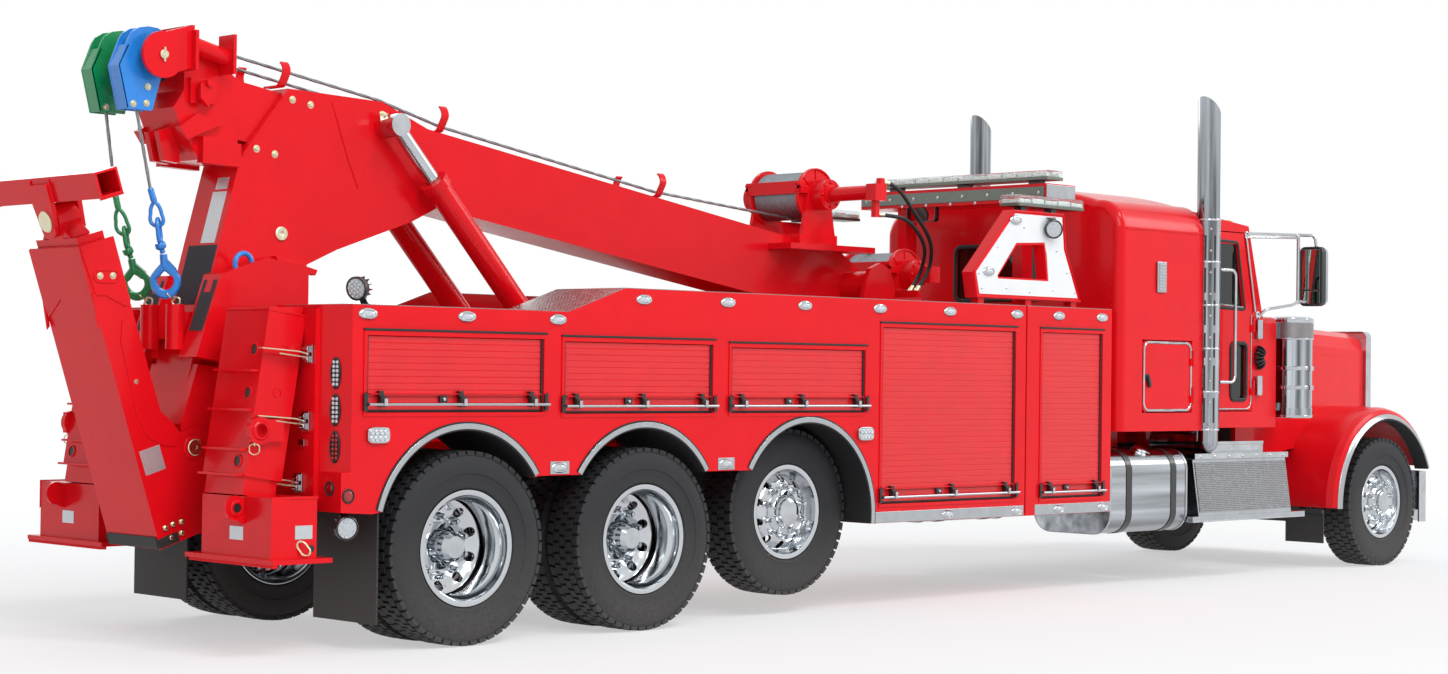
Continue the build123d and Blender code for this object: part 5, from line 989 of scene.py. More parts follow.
# columns: rear, front, bottom and top of each shutter opening
openings = ((-742, 508, 1310, 1727), (667, 1868, 1300, 1718), (2030, 3260, 1300, 1705),
            (3430, 4820, 700, 1860), (5120, 5820, 690, 1860))
slat_pitch = 38.0
body_half = 1240
for side_name, side in both_sides:
    slats = []
    frames, seals, steel, black, clasps = (bmesh.new() for _ in range(5))

    def out(near, far):
        """Two values of y outboard of the body's face."""
        return outboard(side, body_half + near, body_half + far)

    for rear, front, low, high in openings:
        slat = bmesh.new()
        count = round((high - low - 14) / slat_pitch)
        pitch = (high - low - 14) / count
        profile = [(1216, 0), (1227, 0), (1229.5, 3), (1230, pitch / 2), (1229.5, pitch - 3), (1227, pitch),
                   (1216, pitch)]
        prism(slat, [(side * y, low + 12 + z) for y, z in profile], (rear + 14, front - 14), lie="front")
        slats.append(stacked(mesh_from(slat, "slat", shutter_enamel, 25.0), count, pitch))
        for x0, x1, z0, z1 in ((rear - 22, front + 22, high, high + 26), (rear - 22, rear, low - 22, high),
                               (front, front + 22, low - 22, high), (rear, front, low - 22, low)):
            slab(frames, (x0, x1), out(-1, 7), (z0, z1))
        slab(seals, (rear - 24, front + 24), out(-1, 12), (high + 26, high + 38))
        for x0, x1 in ((rear + 1, rear + 13), (front - 15, front - 1)):
            slab(seals, (x0, x1), out(-28, -2), (low + 4, high - 4))
        slab(seals, (rear + 10, front - 10), out(-30, -6), (low + 2, low + 14))
        slab(frames, (rear + 20, front - 20), out(-22, 16), (low + 98, low + 104))
        for x in (rear - 14, front + 14):
            prism(black, [(x - 13, low + 8), (x + 13, low + 8), (x + 13, low + 112), (x - 13, low + 100)],
                  out(6, 20))
        tube(steel, [at(x, side * (body_half + 30), low + 44) for x in (rear - 4, front + 26)], 9)
        long = front - rear
        for share in (0.08, 0.52, 0.93) if long > 1000 else (0.14, 0.90):
            x = rear + long * share
            slab(black, (x - 20, x + 20), out(-14, 28), (low + 30, low + 86))
            slab(black, (x - 26, x + 4), out(-10, 20), (low + 86, low + 118))
            slab(clasps, (x - 9, x + 13), out(28, 44), (low + 36, low + 76))
        x = rear + long * 0.42
        slab(black, (x - 26, x + 26), out(-14, 6), (low + 54, low + 90))
        lathe(clasps, [(0, 0), (10, 0), (10, 8), (8, 10), (0, 10)], at(x, side * (body_half + 6), low + 72),
              (0, side, 0), 16)
    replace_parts(fit(f"shutter_slats_{side_name}", joined(slats, "slats")), "shutters")
    add(f"shutter_frames_{side_name}", frames, red_enamel, bevel=1.5)
    add(f"shutter_seals_{side_name}", seals, rubber, bevel=1.5)
    add(f"shutter_brackets_{side_name}", black, black_enamel, bevel=2.0)
    add(f"shutter_lift_bars_{side_name}", steel, stainless)
    add(f"shutter_clasps_{side_name}", clasps, chrome, bevel=2.0)

    trim, liner = bmesh.new(), bmesh.new()
    # columns: station and height of the arch's centre, first and last angle of its edge in degrees
    for station, z, first, last in ((-50, 617, 33, 165), (1310, 617, 33, 147), (2735, 640, -6, 149.5)):
        turns = [math.radians(first + (last - first) * k / 40) for k in range(41)]
        for form, r0, r1, y in ((trim, 600, 632, out(0, 9)), (liner, 632, 641, out(0, 6)),
                                (liner, 592, 599, out(-596, 4))):
            band = [(station + r1 * math.cos(a), z + r1 * math.sin(a)) for a in turns]
            band += [(station + r0 * math.cos(a), z + r0 * math.sin(a)) for a in reversed(turns)]
            prism(form, band, y)
    for x0, x1 in ((3372, 4925), (5053, 5932)):
        slab(trim, (x0, x1), out(0, 4), (577, 649))
    for x in (640, 1995):
        slab(trim, (x - 72, x + 72), out(0, 5), (952, 1026))
    add(f"arch_trims_{side_name}", trim, mill_aluminium, bevel=2.0)
    add(f"arch_liners_{side_name}", liner, rubber)

    deck = bmesh.new()
    for x0, x1, z in ((-838, 700, 1890), (1140, 4936, 2040), (4954, 5932, 2040)):
        slab(deck, (x0, x1), outboard(side, 622, 1236), (z, z + 4))
    prism(deck, [(700, 1890), (1140, 2040), (1140, 2044), (700, 1894)], outboard(side, 622, 1236))
    add(f"deck_plates_{side_name}", deck, deck_tread)


def oval_lamp(half_x, half_z, height, rings, steps=28):
    """A domed oval about the origin that faces -Y; rings are (share of the size, share of the height)."""
    form = bmesh.new()
    weave(form, [[local(half_x * share * math.cos(math.tau * k / steps), -height * rise,
                        half_z * share * math.sin(math.tau * k / steps)) for k in range(steps)]
                 for share, rise in rings])
    return form


# columns: station and height of each oval marker lamp
marker_rows = ((-739, 1842), (-57, 1843), (614, 1842), (1289, 1977), (1995, 1980), (2686, 1980), (3402, 1980),
               (4113, 1980), (4835, 1980), (5310, 1980), (5816, 1980), (4116, 612), (4859, 612), (5334, 612),
               (5852, 612), (636, 990), (1995, 990))
sides_of_body = [(-1, 0), (1, 180)]
rows = [(at(s, side * body_half, z), (0, 0, turn)) for side, turn in sides_of_body for s, z in marker_rows]
bezel = oval_lamp(64, 33, 15, ((1, -0.1), (1, 0.25), (0.93, 0.62), (0.8, 0.95), (0.66, 1.0), (0.6, 0.9),
                               (0.55, 0.6)))
marker_bezel = mesh_from(bezel, "bezel", chrome)
glow = oval_lamp(40, 16, 17, ((1, 0), (1, 0.7), (0.7, 0.95), (0.3, 1.0)))
marker_lens = mesh_from(glow, "lens", clear_lens)
fit("marker_bezels", set_out(marker_bezel, rows))
fit("marker_lenses", set_out(marker_lens, rows))

# scene lamps: clear lens in a chromed oval body, with three rows of small reflector cups
scene_lamp_rows = ((-667, 1188), (3262, 1163))
rows = [(at(s, side * body_half, z), (0, 0, turn)) for side, turn in sides_of_body
        for s, z in scene_lamp_rows]


def squared(radius, share):
    """One coordinate of a squarish oval, from the cosine or sine of the way round it."""
    return radius * math.copysign(abs(share) ** 0.5, share)


body = bmesh.new()
prism(body, [(squared(74, math.cos(a)), squared(44, math.sin(a)))
             for a in (math.tau * k / 32 for k in range(32))], (-22, 2), spot=local)
fit("scene_lamps", set_out(mesh_from(body, "scene_lamp", chrome), rows), bevel=4.0)
cup = bmesh.new()
lathe(cup, [(0, 0), (15, 0), (15, 5), (12, 7), (7, 2), (0, 1)], Vector(), steps=14)
cup_rows = [(at(s + side * dx, side * 1262, z + dz), (0, 0, turn)) for side, turn in sides_of_body
            for s, z in scene_lamp_rows for dx in (-48, -16, 16, 48) for dz in (-18, 16)]
fit("scene_lamp_cups", set_out(mesh_from(cup, "cup", clear_lens), cup_rows))

# tail lamps on the slanted corner: three upright ovals a side in black grommets, lit by rows of LEDs
slant = math.degrees(math.atan2(62, 200))
corner = [(-1, -90 + slant), (1, 270 - slant)]
lamp_z = (1520, 1322, 1124)
middle_x, middle_y = -869, 1140
grommet = oval_lamp(34, 88, 12, ((1, -0.1), (1, 0.5), (0.9, 1.0), (0.78, 0.9), (0.74, 0.3)))
rows = [(at(middle_x, side * middle_y, z), (0, 0, turn)) for side, turn in corner for z in lamp_z]
fit("tail_lamp_grommets", set_out(mesh_from(grommet, "grommet", rubber), rows))
for label, lens, heights in (("clear", clear_lens, lamp_z[:2]), ("red", red_lens, lamp_z[2:])):
    rows = []
    for side, turn in corner:
        across_x = Vector((math.cos(math.radians(turn)), math.sin(math.radians(turn)), 0))
        for z in heights:
            rows += [(at(middle_x, side * middle_y, z + dz) + across_x * dx / 1000, (0, 0, turn))
                     for dx in (-12, 12) for dz in (-60, -36, -12, 12, 36, 60)]
    diode = bmesh.new()
    lathe(diode, [(0, 2), (9.5, 2), (9.5, 11), (6, 13.5), (0, 14)], Vector(), steps=10)
    fit(f"tail_lamps_{label}", set_out(mesh_from(diode, "diode", lens), rows))
round_rows = [(at(-853, side * body_half, 863), (0, 0, turn)) for side, turn in sides_of_body]
round_rows += [(at(-900, side * 1140, 900), (0, 0, -90)) for side in (-1, 1)]
ring_form = oval_lamp(40, 40, 9, ((1, -0.1), (1, 0.6), (0.9, 1.0), (0.78, 0.8), (0.76, 0.2)))
fit("corner_lamp_grommets", set_out(mesh_from(ring_form, "ring", rubber), round_rows))
red_form = oval_lamp(31, 31, 8, ((1, 0), (1, 0.4), (0.8, 0.85), (0.4, 1.0)))
fit("corner_lamps", set_out(mesh_from(red_form, "lens", red_lens), round_rows))

# ---- sleeper and cab ----------------------------------------------------------------------------
# Riveted aluminium cab and sleeper in red enamel. Rubber seals, polished stainless beads and a grab
# rail dress the doors, tinted laminated glass fills the windows, and the trim inside is dark vinyl.
tinted_glass = surface("glass_laminated_tinted", "16211C", 0.03, grain=400.0, vary=0.3, rough_vary=0.01)
tinted_glass.node_tree.nodes["Principled BSDF"].inputs["Transmission Weight"].default_value = 0.35
vinyl = surface("dark_vinyl_moulded", "2B2A2B", 0.6, grain=3.0, vary=0.12, bump=0.4)
black_plastic = surface("black_polypropylene_moulded", "1C1D20", 0.45, grain=2.5, vary=0.1, bump=0.3)
dress("windows", tinted_glass)
dress("door_glass_left", tinted_glass)
dress("door_glass_right", tinted_glass)
dress("cab_interior", vinyl)


def ring_path(x0, x1, z0, z1, radius, y):
    """A closed path round a rounded opening in the plane at y."""
    path = []
    for cx, cz, first in ((x1 - radius, z0 + radius, -90), (x1 - radius, z1 - radius, 0),
                          (x0 + radius, z1 - radius, 90), (x0 + radius, z0 + radius, 180)):
        path += [at(cx + radius * math.cos(math.radians(first + 15 * k)), y,
                    cz + radius * math.sin(math.radians(first + 15 * k))) for k in range(7)]
    return path


def hoop(form, path, wide, proud, out):
    """A flat-sided bead round a closed path, wide millimetres in its plane and proud of it along out."""
    rings, out = [], Vector(out)
    for i, point in enumerate(path):
        across_bead = (path[(i + 1) % len(path)] - path[i - 1]).normalized().cross(out)
        rings.append([point + (across_bead * a + out * b) / 1000 for a, b in
                      ((-wide / 2, -1), (wide / 2, -1), (wide / 2, proud * 0.6), (wide * 0.25, proud),
                       (-wide * 0.25, proud), (-wide / 2, proud * 0.6))])
    weave(form, rings, looped=True)


rivet = bmesh.new()
lathe(rivet, [(0, -0.5), (5.5, -0.5), (5, 1.6), (2.8, 3.0), (0, 3.3)], Vector(), steps=8)
rivet = mesh_from(rivet, "rivet", red_enamel, 60.0)


def rivet_line(start, end, pitch, turn):
    """Rows for rivets at about the pitch from one point to another."""
    count = max(1, round((end - start).length * 1000 / pitch))
    return [(start.lerp(end, k / count), (0, 0, turn)) for k in range(count + 1)]


rows = []
for side, turn in sides_of_body:
    y = side * 1150
    rows += rivet_line(at(6240, y, 2640), at(7190, y, 2640), 66, turn)
    rows += rivet_line(at(6240, y, 1175), at(7190, y, 1175), 66, turn)
    rows += rivet_line(at(6500, y, 1990), at(7180, y, 1990), 140, turn)
    rows += rivet_line(at(6480, y, 1235), at(6480, y, 2600), 58, turn)
    rows += rivet_line(at(7195, y, 1235), at(7195, y, 2600), 58, turn)
    rows += rivet_line(at(8700, side * 771, 1790), at(10400, side * 623, 1740), 85, turn + side * -5)
for z in (1250, 1990, 2080, 2640):
    rows += rivet_line(at(6155, -1065, z), at(6155, 1065, z), 90, -90)
for y in (-1065, -640, 640, 1065):
    rows += rivet_line(at(6155, y, 1310), at(6155, y, 2600), 90, -90)
hood_rear = at(8485, 0, 0).x
fit("cab_rivets", set_out(rivet, [row for row in rows if row[0].x < hood_rear]))
fit("hood_rivets", set_out(rivet, [row for row in rows if row[0].x > hood_rear]), "hood")

for side_name, side in both_sides:
    seam = bmesh.new()
    slab(seam, (6226, 7215), outboard(side, 1148, 1156), (2648, 2664))
    add(f"roof_drip_{side_name}", seam, red_enamel, bevel=2.0)
    ring = bmesh.new()
    hoop(ring, ring_path(6458, 7062, 1307, 1814, 62, side * 1150), 17, 9, (0, side, 0))
    fit(f"bunk_door_bead_{side_name}", mesh_from(ring, "bead", chrome), f"bunk_door_{side_name}")
    latch = bmesh.new()
    lathe(latch, [(0, 0), (30, 0), (30, 5), (24, 9), (0, 9)], at(6500, side * 1150, 1552), (0, side, 0), 24)
    prism(latch, [(6484, 1556), (6506, 1566), (6534, 1500), (6526, 1480), (6506, 1478)],
          outboard(side, 1156, 1174))
    fit(f"bunk_door_latch_{side_name}", mesh_from(latch, "latch", black_plastic), f"bunk_door_{side_name}",
        2.5)
    vent = bmesh.new()
    slab(vent, (6603, 6718), outboard(side, 1149, 1170), (2188, 2421))
    add(f"sleeper_vent_{side_name}", vent, stainless, bevel=7.0)
    louvres = bmesh.new()
    for k in range(9):
        slab(louvres, (6620, 6701), outboard(side, 1169, 1174), (2206 + 23 * k, 2218 + 23 * k))
    add(f"vent_louvres_{side_name}", louvres, mill_aluminium, bevel=1.5)

    door, glass_seal = f"cab_door_{side_name}", bmesh.new()
    hoop(glass_seal, [at(s, side * 1000, z) for s, z in
                      ((7480, 2132), (7490, 2114), (7506, 2108), (7750, 2104), (7992, 2098), (8010, 2104),
                       (8014, 2120), (7962, 2370), (7914, 2602), (7904, 2618), (7888, 2626), (7700, 2630),
                       (7504, 2630), (7488, 2622), (7482, 2606), (7480, 2370))], 22, 7, (0, side, 0))
    hoop(glass_seal, ring_path(7824, 8041, 1384, 1831, 44, side * 1000), 30, 12, (0, side, 0))
    add(f"door_seals_{side_name}", glass_seal, rubber, door)
    bead = bmesh.new()
    tube(bead, rounded([at(7444, side * 1002, 2100), at(7444, side * 1002, 1312), at(8108, side * 1002, 1312),
                        at(8108, side * 1002, 2060)], 75, 7), 6)
    tube(bead, [at(7508, side * 1001, 2140), at(7740, side * 1002, 2128), at(7984, side * 1001, 2116)], 7)
    add(f"door_beads_{side_name}", bead, stainless, door)
    rail = bmesh.new()
    tube(rail, rounded([at(7618, side * 999, 2398), at(7618, side * 1067, 2398), at(7782, side * 1067, 2398),
                        at(7782, side * 1067, 1522), at(7618, side * 1067, 1522), at(7618, side * 999, 1522)],
                       62, 6), 14, 14)
    for z in (1522, 2398):
        lathe(rail, [(0, 0), (27, 0), (27, 5), (16, 9), (0, 9)], at(7618, side * 1000, z), (0, side, 0), 20)
    handle = [at(7486, side * 1000, 2010), at(7486, side * 1027, 2010), at(7620, side * 1031, 1996),
              at(7640, side * 1000, 1994)]
    tube(rail, rounded(handle, 14, 3), 0, across=(26, 12, (0, 0, 1)))
    add(f"grab_rail_{side_name}", rail, chrome, door)

    trim = bmesh.new()
    tube(trim, [at(8019, side * 1007, 2668), at(8085, side * 1008, 2372), at(8152, side * 1007, 2084)], 9)
    for z0, z1 in ((1868, 2022), (1420, 1575)):
        lathe(trim, [(0, 0), (28, 0), (33, 6), (33, z1 - z0 - 6), (28, z1 - z0), (0, z1 - z0)],
              at(8192, side * 1018, z0), (0, 0, 1), 20)
    add(f"hinge_covers_{side_name}", trim, chrome)
    elbow = bmesh.new()
    for k in range(7):
        turn = math.radians(-60 + 20 * k)
        lathe(elbow, [(20, -7), (44, -7), (50, 0), (44, 7), (20, 7)],
              at(8190 + 62 * (1 - math.cos(turn)), side * 1015, 1720 + 62 * math.sin(turn)),
              (math.sin(turn), 0, math.cos(turn)), 20)
    add(f"intake_elbow_{side_name}", elbow, rubber)

# amber roof markers in chromed streamlined bodies, and the rubber seal of the sleeper's rear window
roof_rows = [(at(8000, y, 2774), (0, 0, 0)) for y in (-850, -425, 0, 425, 850)]
pod = bmesh.new()
lathe(pod, [(0, -52), (20, -50), (27, -30), (29, 0), (26, 34), (14, 50), (0, 52)], local(0, 0, 10),
      (1, 0, 0), 20)
fit("roof_marker_pods", set_out(mesh_from(pod, "pod", amber_lens), roof_rows))
base = bmesh.new()
prism(base, [(62 * math.cos(a), 33 * math.sin(a)) for a in (math.tau * k / 24 for k in range(24))], (-12, 8),
      lie="flat", spot=local)
fit("roof_marker_bases", set_out(mesh_from(base, "base", chrome), roof_rows), bevel=2.0)
seal = bmesh.new()
frame_line = [Vector((at(6155, 0, 0).x, p.x - at(0, 0, 0).x, p.z)) for p in ring_path(-424, 424, 2131, 2549,
              54, 0)]
hoop(seal, frame_line, 30, 11, (-1, 0, 0))
add("rear_window_seal", seal, rubber)

# ---- air cleaners, stacks and mirrors -----------------------------------------------------------
# Polished stainless canisters with a screened rain lid and clamp bands, chromed stacks in slotted
# heat guards, and mirrors of black moulded plastic on loops of chromed tube.
screen = surface("stainless_screen_perforated", "8F8B8D", 0.35, metallic=0.85, grain=5.0, vary=0.35, bump=1.2)
mirror_glass = surface("mirror_glass_silvered", "9FB0A8", 0.02, metallic=1.0, grain=500.0, vary=0.02,
                       rough_vary=0.01)
dress("exhaust_stacks", chrome_painted_reflections)


def mirror_outline(side, half_y, half_z, radius):
    """The mirror head's rounded outline as (y, z)."""
    made = []
    for cy, cz, first in ((half_y, -half_z, -90), (half_y, half_z, 0), (-half_y, half_z, 90),
                          (-half_y, -half_z, 180)):
        centre_y, centre_z = cy - math.copysign(radius, cy), cz - math.copysign(radius, cz)
        made += [(side * 1300 + centre_y + radius * math.cos(math.radians(first + 18 * k)),
                  2373 + centre_z + radius * math.sin(math.radians(first + 18 * k))) for k in range(6)]
    return made


for side_name, side in both_sides:
    centre = at(8690, side * 1005, 0)
    bands = bmesh.new()
    for low, high, r in ((1240, 1262, 175), (1470, 1500, 176), (1625, 1655, 176), (1870, 1886, 173),
                         (2006, 2040, 174)):
        lathe(bands, [(150, low), (r - 3, low), (r, low + 4), (r, high - 4), (r - 3, high), (150, high)],
              centre, (0, 0, 1), 56)
    lathe(bands, [(0, 2030), (168, 2030), (166, 2046), (140, 2056), (0, 2062)], centre, (0, 0, 1), 56)
    for z in (1485, 1640):
        slab(bands, (8664, 8716), outboard(side, 1180, 1196), (z - 18, z + 18))
    add(f"cleaner_bands_{side_name}", bands, chrome)
    mesh_band = bmesh.new()
    lathe(mesh_band, [(168, 1888), (172.5, 1888), (172.5, 2004), (168, 2004)], centre, (0, 0, 1), 64)
    add(f"cleaner_screen_{side_name}", mesh_band, screen)

    stack = bmesh.new()
    centre = at(7310, side * 1130, 0)
    for low, high, r in ((1149, 1163, 98), (1440, 1452, 97), (1772, 1784, 97), (2104, 2116, 97),
                         (2436, 2448, 97), (2758, 2772, 98)):
        lathe(stack, [(88, low), (r - 1.5, low), (r, low + 3), (r, high - 3), (r - 1.5, high), (88, high)],
              centre, (0, 0, 1), 48)
    add(f"stack_bands_{side_name}", stack, chrome)
    stud = bmesh.new()
    lathe(stud, [(0, -2), (11, -2), (11, 5), (7, 10), (0, 10)], Vector(), steps=12)
    spots = [(centre + Vector((-0.068, side * 0.068, z / 1000)), (0, 0, -45 if side < 0 else -135))
             for z in range(1200, 2760, 166)]
    fit(f"stack_studs_{side_name}", set_out(mesh_from(stud, "stud", chrome), spots))
    # Painted shade: dark enamel strips on the chrome stand in for the heat guard's slots and the shade inside
    # them.
    slots = bmesh.new()
    for turn in (-68, -22, 202, 248):
        angle = math.radians(turn)
        for z in range(1210, 2700, 249):
            way = Vector((math.cos(angle), -side * math.sin(angle), 0))
            middle = centre + way * 0.0905 + Vector((0, 0, z / 1000))
            tube(slots, [middle, middle + Vector((0, 0, 0.19))], 0,
                 across=(16, 9, way.cross(Vector((0, 0, 1)))))
    add(f"stack_slots_{side_name}", slots, black_enamel)

    arms = bmesh.new()
    post, root = side * 1225, side * 1010
    tube(arms, rounded([at(8030, root, 2702), at(8425, side * 1228, 2702), at(8425, side * 1228, 2622)],
                       34), 12)
    tube(arms, rounded([at(8032, root, 2672), at(8290, side * 1160, 2676), at(8424, post, 2678)], 34), 9)
    tube(arms, [at(8425, post, 2694), at(8425, post, 2150)], 14, 14)
    tube(arms, rounded([at(8425, post, 2180), at(8400, side * 1215, 2148), at(8215, side * 1060, 2104),
                        at(8196, root, 2040)], 30), 12, 12)
    tube(arms, rounded([at(8425, post, 2702), at(8560, side * 1292, 2702), at(8574, side * 1298, 2600)],
                       40), 13, 12)
    tube(arms, [at(8425, post, 2176), at(8560, side * 1290, 2168)], 12, 12)
    for x, z in ((8030, 2690), (8195, 2060)):
        lathe(arms, [(0, 0), (30, 0), (30, 7), (20, 14), (0, 14)], at(x, side * 999, z), (0, side, 0), 20)
    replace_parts(add(f"mirror_arms_{side_name}", arms, chrome), "mirrors")

    for label, material, loops, slot in (("bezel", black_plastic, ((8496, 92, 224, 40), (8490, 98, 230, 42),
                                          (8494, 105, 237, 46), (8545, 105, 237, 46), (8545, 98, 230, 42)),
                                          "dark_metal"),
                                         ("shell", chrome_painted_reflections,
                                          ((8545, 103, 235, 45), (8585, 100, 230, 48), (8615, 82, 208, 50),
                                           (8633, 48, 168, 40)), "chrome"), ):
        form = bmesh.new()
        weave(form, [[at(s, y, z) for y, z in mirror_outline(side, *size)] for s, *size in loops])
        add(f"mirror_{label}_{side_name}", form, material, smooth=50.0)
    panes = bmesh.new()
    for low, high in ((2268, 2588), (2156, 2256)):
        slab(panes, (8492, 8497), outboard(side, 1218, 1382), (low, high))
    add(f"mirror_panes_{side_name}", panes, mirror_glass, bevel=2.0)

# ---- hood front, bumper and fenders -------------------------------------------------------------
# A chromed grille of upright bars, sealed-beam lamps in chromed pods, a plain chromed bumper, and a
# polished stainless flare with a rubber lining round each front fender's opening.
dress("grille", chrome)
dress("bumper", chrome)
dress("headlamps", chrome)
beams = bmesh.new()
for y in (-884, -740, 740, 884):
    lathe(beams, [(0, 4), (50, 4), (57, 0), (62, -4), (62, 2), (56, 8), (38, 13), (0, 15)],
          at(10600, y, 1130), (1, 0, 0), 32)
add("headlamp_lenses", beams, clear_lens, "hood")
for side_name, side in both_sides:
    for label, material, section in (
        ("flare", stainless, ((716, 1202), (756, 1196), (758, 1204), (748, 1216), (722, 1228), (716, 1222))),
        ("lining", rubber, ((702, 1100), (708, 1100), (714, 1224), (706, 1222))),
    ):
        form = bmesh.new()
        turns = [math.radians(24 + 157 * k / 48) for k in range(49)]
        weave(form, [[at(9840 + r * math.cos(a), side * y, 512 + r * math.sin(a)) for r, y in section]
                     for a in turns])
        add(f"fender_{label}_{side_name}", form, material, "hood")

# ---- fuel tanks and steps -----------------------------------------------------------------------
# Polished aluminium saddle tanks in rubber-lined steel straps, and boarding steps of bright
# lozenge-tread plate under a polished toolbox lid.
dress("side_steps", mill_aluminium)
step_tread = tread_plate("aluminium_step_plate_embossed", "C2C6C9", (math.radians(90), 0.0, 0.0))


def tank_band(form, side, x0, x1, proud, steps=9):
    """A band round the tank's rounded section."""
    rings = []
    for x, grow_by in ((x0, 0), (x0, proud), (x1, proud), (x1, 0)):
        rings.append([])
        for cy, cz, start_turn in ((1040, 550, -90), (1040, 860, 0), (650, 860, 90), (650, 550, 180)):
            for k in range(steps + 1):
                a = math.radians(start_turn + 90 * k / steps)
                rings[-1].append(at(x, side * (cy + (150 + grow_by) * math.cos(a)),
                                    cz + (150 + grow_by) * math.sin(a)))
    weave(form, rings, looped=True)


for side_name, side in both_sides:
    straps, beads, cap = bmesh.new(), bmesh.new(), bmesh.new()
    for x in (6200, 6760):
        tank_band(straps, side, x, x + 68, 5)
    for x in (5995, 6950):
        tank_band(beads, side, x, x + 20, 6)
    add(f"tank_straps_{side_name}", straps, black_enamel, bevel=1.5)
    add(f"tank_rims_{side_name}", beads, mill_aluminium, bevel=2.0)
    lathe(cap, [(0, 0), (62, 0), (62, 18), (54, 24), (54, 40), (44, 46), (0, 46)],
          at(6480, side * 1090, 988), (0, side * 0.5, 0.87), 32)
    tube(cap, [at(6440, side * 1120, 1010), at(6480, side * 1150, 1002), at(6540, side * 1150, 985)], 4)
    add(f"tank_cap_{side_name}", cap, chrome, bevel=1.5)

    tread = bmesh.new()
    prism(tread, [(side * 1133, 905), (side * 1188, 528), (side * 1192, 528), (side * 1137, 905)],
          (7152, 8398), lie="front")
    add(f"step_tread_{side_name}", tread, step_tread)
    polish = bmesh.new()
    slab(polish, (7126, 8414), outboard(side, 1060, 1156), (932, 974))
    slab(polish, (7416, 8140), outboard(side, 1060, 1104), (1040, 1062))
    slab(polish, (7430, 8126), outboard(side, 1099, 1103), (986, 1036))
    slab(polish, (6984, 8526), outboard(side, 1190, 1243), (458, 470))
    add(f"step_polish_{side_name}", polish, chrome, bevel=3.0)
    studs = [(at(x, side * 1156, 950), (0, 0, 0 if side < 0 else 180)) for x in range(7200, 8400, 190)]
    fit(f"step_bolts_{side_name}", set_out(bolt_shape(8, stainless), studs))

# ---- underlift arm and crossbar -----------------------------------------------------------------
# Welded box arm of high-strength plate with doublers along its sides, a turned pin at the fold and at
# the swivel, bolted slide pads at its foot and bare label plates.
lean = math.radians(17.9)
swivel_along = 1395


def arm_spot(across_arm, along, behind):
    """A point of the folded arm: across it, up it from the fold pin and back from the pin's line."""
    return at(-1190 - math.sin(lean) * along - math.cos(lean) * behind, across_arm,
              1100 + math.cos(lean) * along - math.sin(lean) * behind)


arm_back = (-math.cos(lean), 0, -math.sin(lean))
doubler = bmesh.new()
for side in (-1, 1):
    y = outboard(side, 259, 267)
    prism(doubler, [(-1578, 1800), (-1649, 1790), (-1657, 1677), (-1542, 1254), (-1520, 1227),
                    (-1474, 1154), (-1372, 1109), (-1304, 1106), (-1271, 1176), (-1324, 1235),
                    (-1404, 1303), (-1572, 1800)], y)
    top, low = arm_spot(0, 1247, 146), arm_spot(0, 1247, 358)
    prism(doubler, [(-1813, 1919), (-1753, 1921), (-1630, 1866), (-1610, 1871), (-1600, 1898),
                    ((top.x + zero_station) * 1000 + 1, top.z * 1000),
                    ((low.x + zero_station) * 1000, low.z * 1000)], y)
    prism(doubler, [(-1835, 1932), (-1812, 1924), (-1786, 1760), (-1800, 1738)], outboard(side, 254, 268))
    lathe(doubler, [(46, 0), (64, 0), (64, 11), (58, 14), (46, 14)], at(-1190, side * 260, 1100),
          (0, side, 0), 40)
back_plate = [(-262, 880), (70, 960), (238, 862), (262, 862), (262, 1247), (-262, 1247)]
weave(doubler, [[arm_spot(y, along, behind) for y, along in back_plate] for behind in (357, 366)])
add("arm_doublers", doubler, red_enamel, "underlift_arm", bevel=2.5)
slot = bmesh.new()
for side in (-1, 1):
    hoop(slot, ring_path(-1826, -1676, 1994, 2060, 32, side * 266), 14, 8, (0, side, 0))
add("arm_slot_rims", slot, red_enamel, "underlift_arm")
rows = []
for side, turn in sides_of_body:
    rows += [(at(s, side * 262 if z < 1000 else side * 267, z), (0, 0, turn))
             for s, z in ((-1358, 659), (-1310, 679), (-1257, 691), (-1255, 629), (-1324, 606),
                          (-1790, 2026), (-1712, 2030))]
fit("arm_bolts", set_out(bolt_shape(13, zinc_plate), rows), "underlift_arm")
pins = bmesh.new()
for side in (-1, 1):
    lathe(pins, [(0, 0), (46, 0), (46, 3), (42, 7), (12, 7), (10, 3), (0, 3)], at(-1190, side * 280, 1100),
          (0, side, 0), 40)
    lathe(pins, [(0, 0), (14, 0), (14, 4), (0, 5)], at(-1559, side * 266, 1460), (0, side, 0), 16)
add("fold_pin_caps", pins, zinc_plate, "underlift_arm")
label = bmesh.new()
for side in (-1, 1):
    prism(label, [(-1531, 1079), (-1406, 1117), (-1362, 986), (-1484, 947)], outboard(side, 260, 262.5))
add("arm_label_plates", label, blank_plate, "underlift_arm", bevel=0.6)
skid = bmesh.new()
slab(skid, (-250, 250), (-466, -398), (358, 366), spot=arm_spot)
for side in (-1, 1):
    slab(skid, outboard(side, 259, 264), (-466, -412), (230, 366), spot=arm_spot)
add("arm_skid_strip", skid, rubber, "underlift_arm", bevel=2.0)

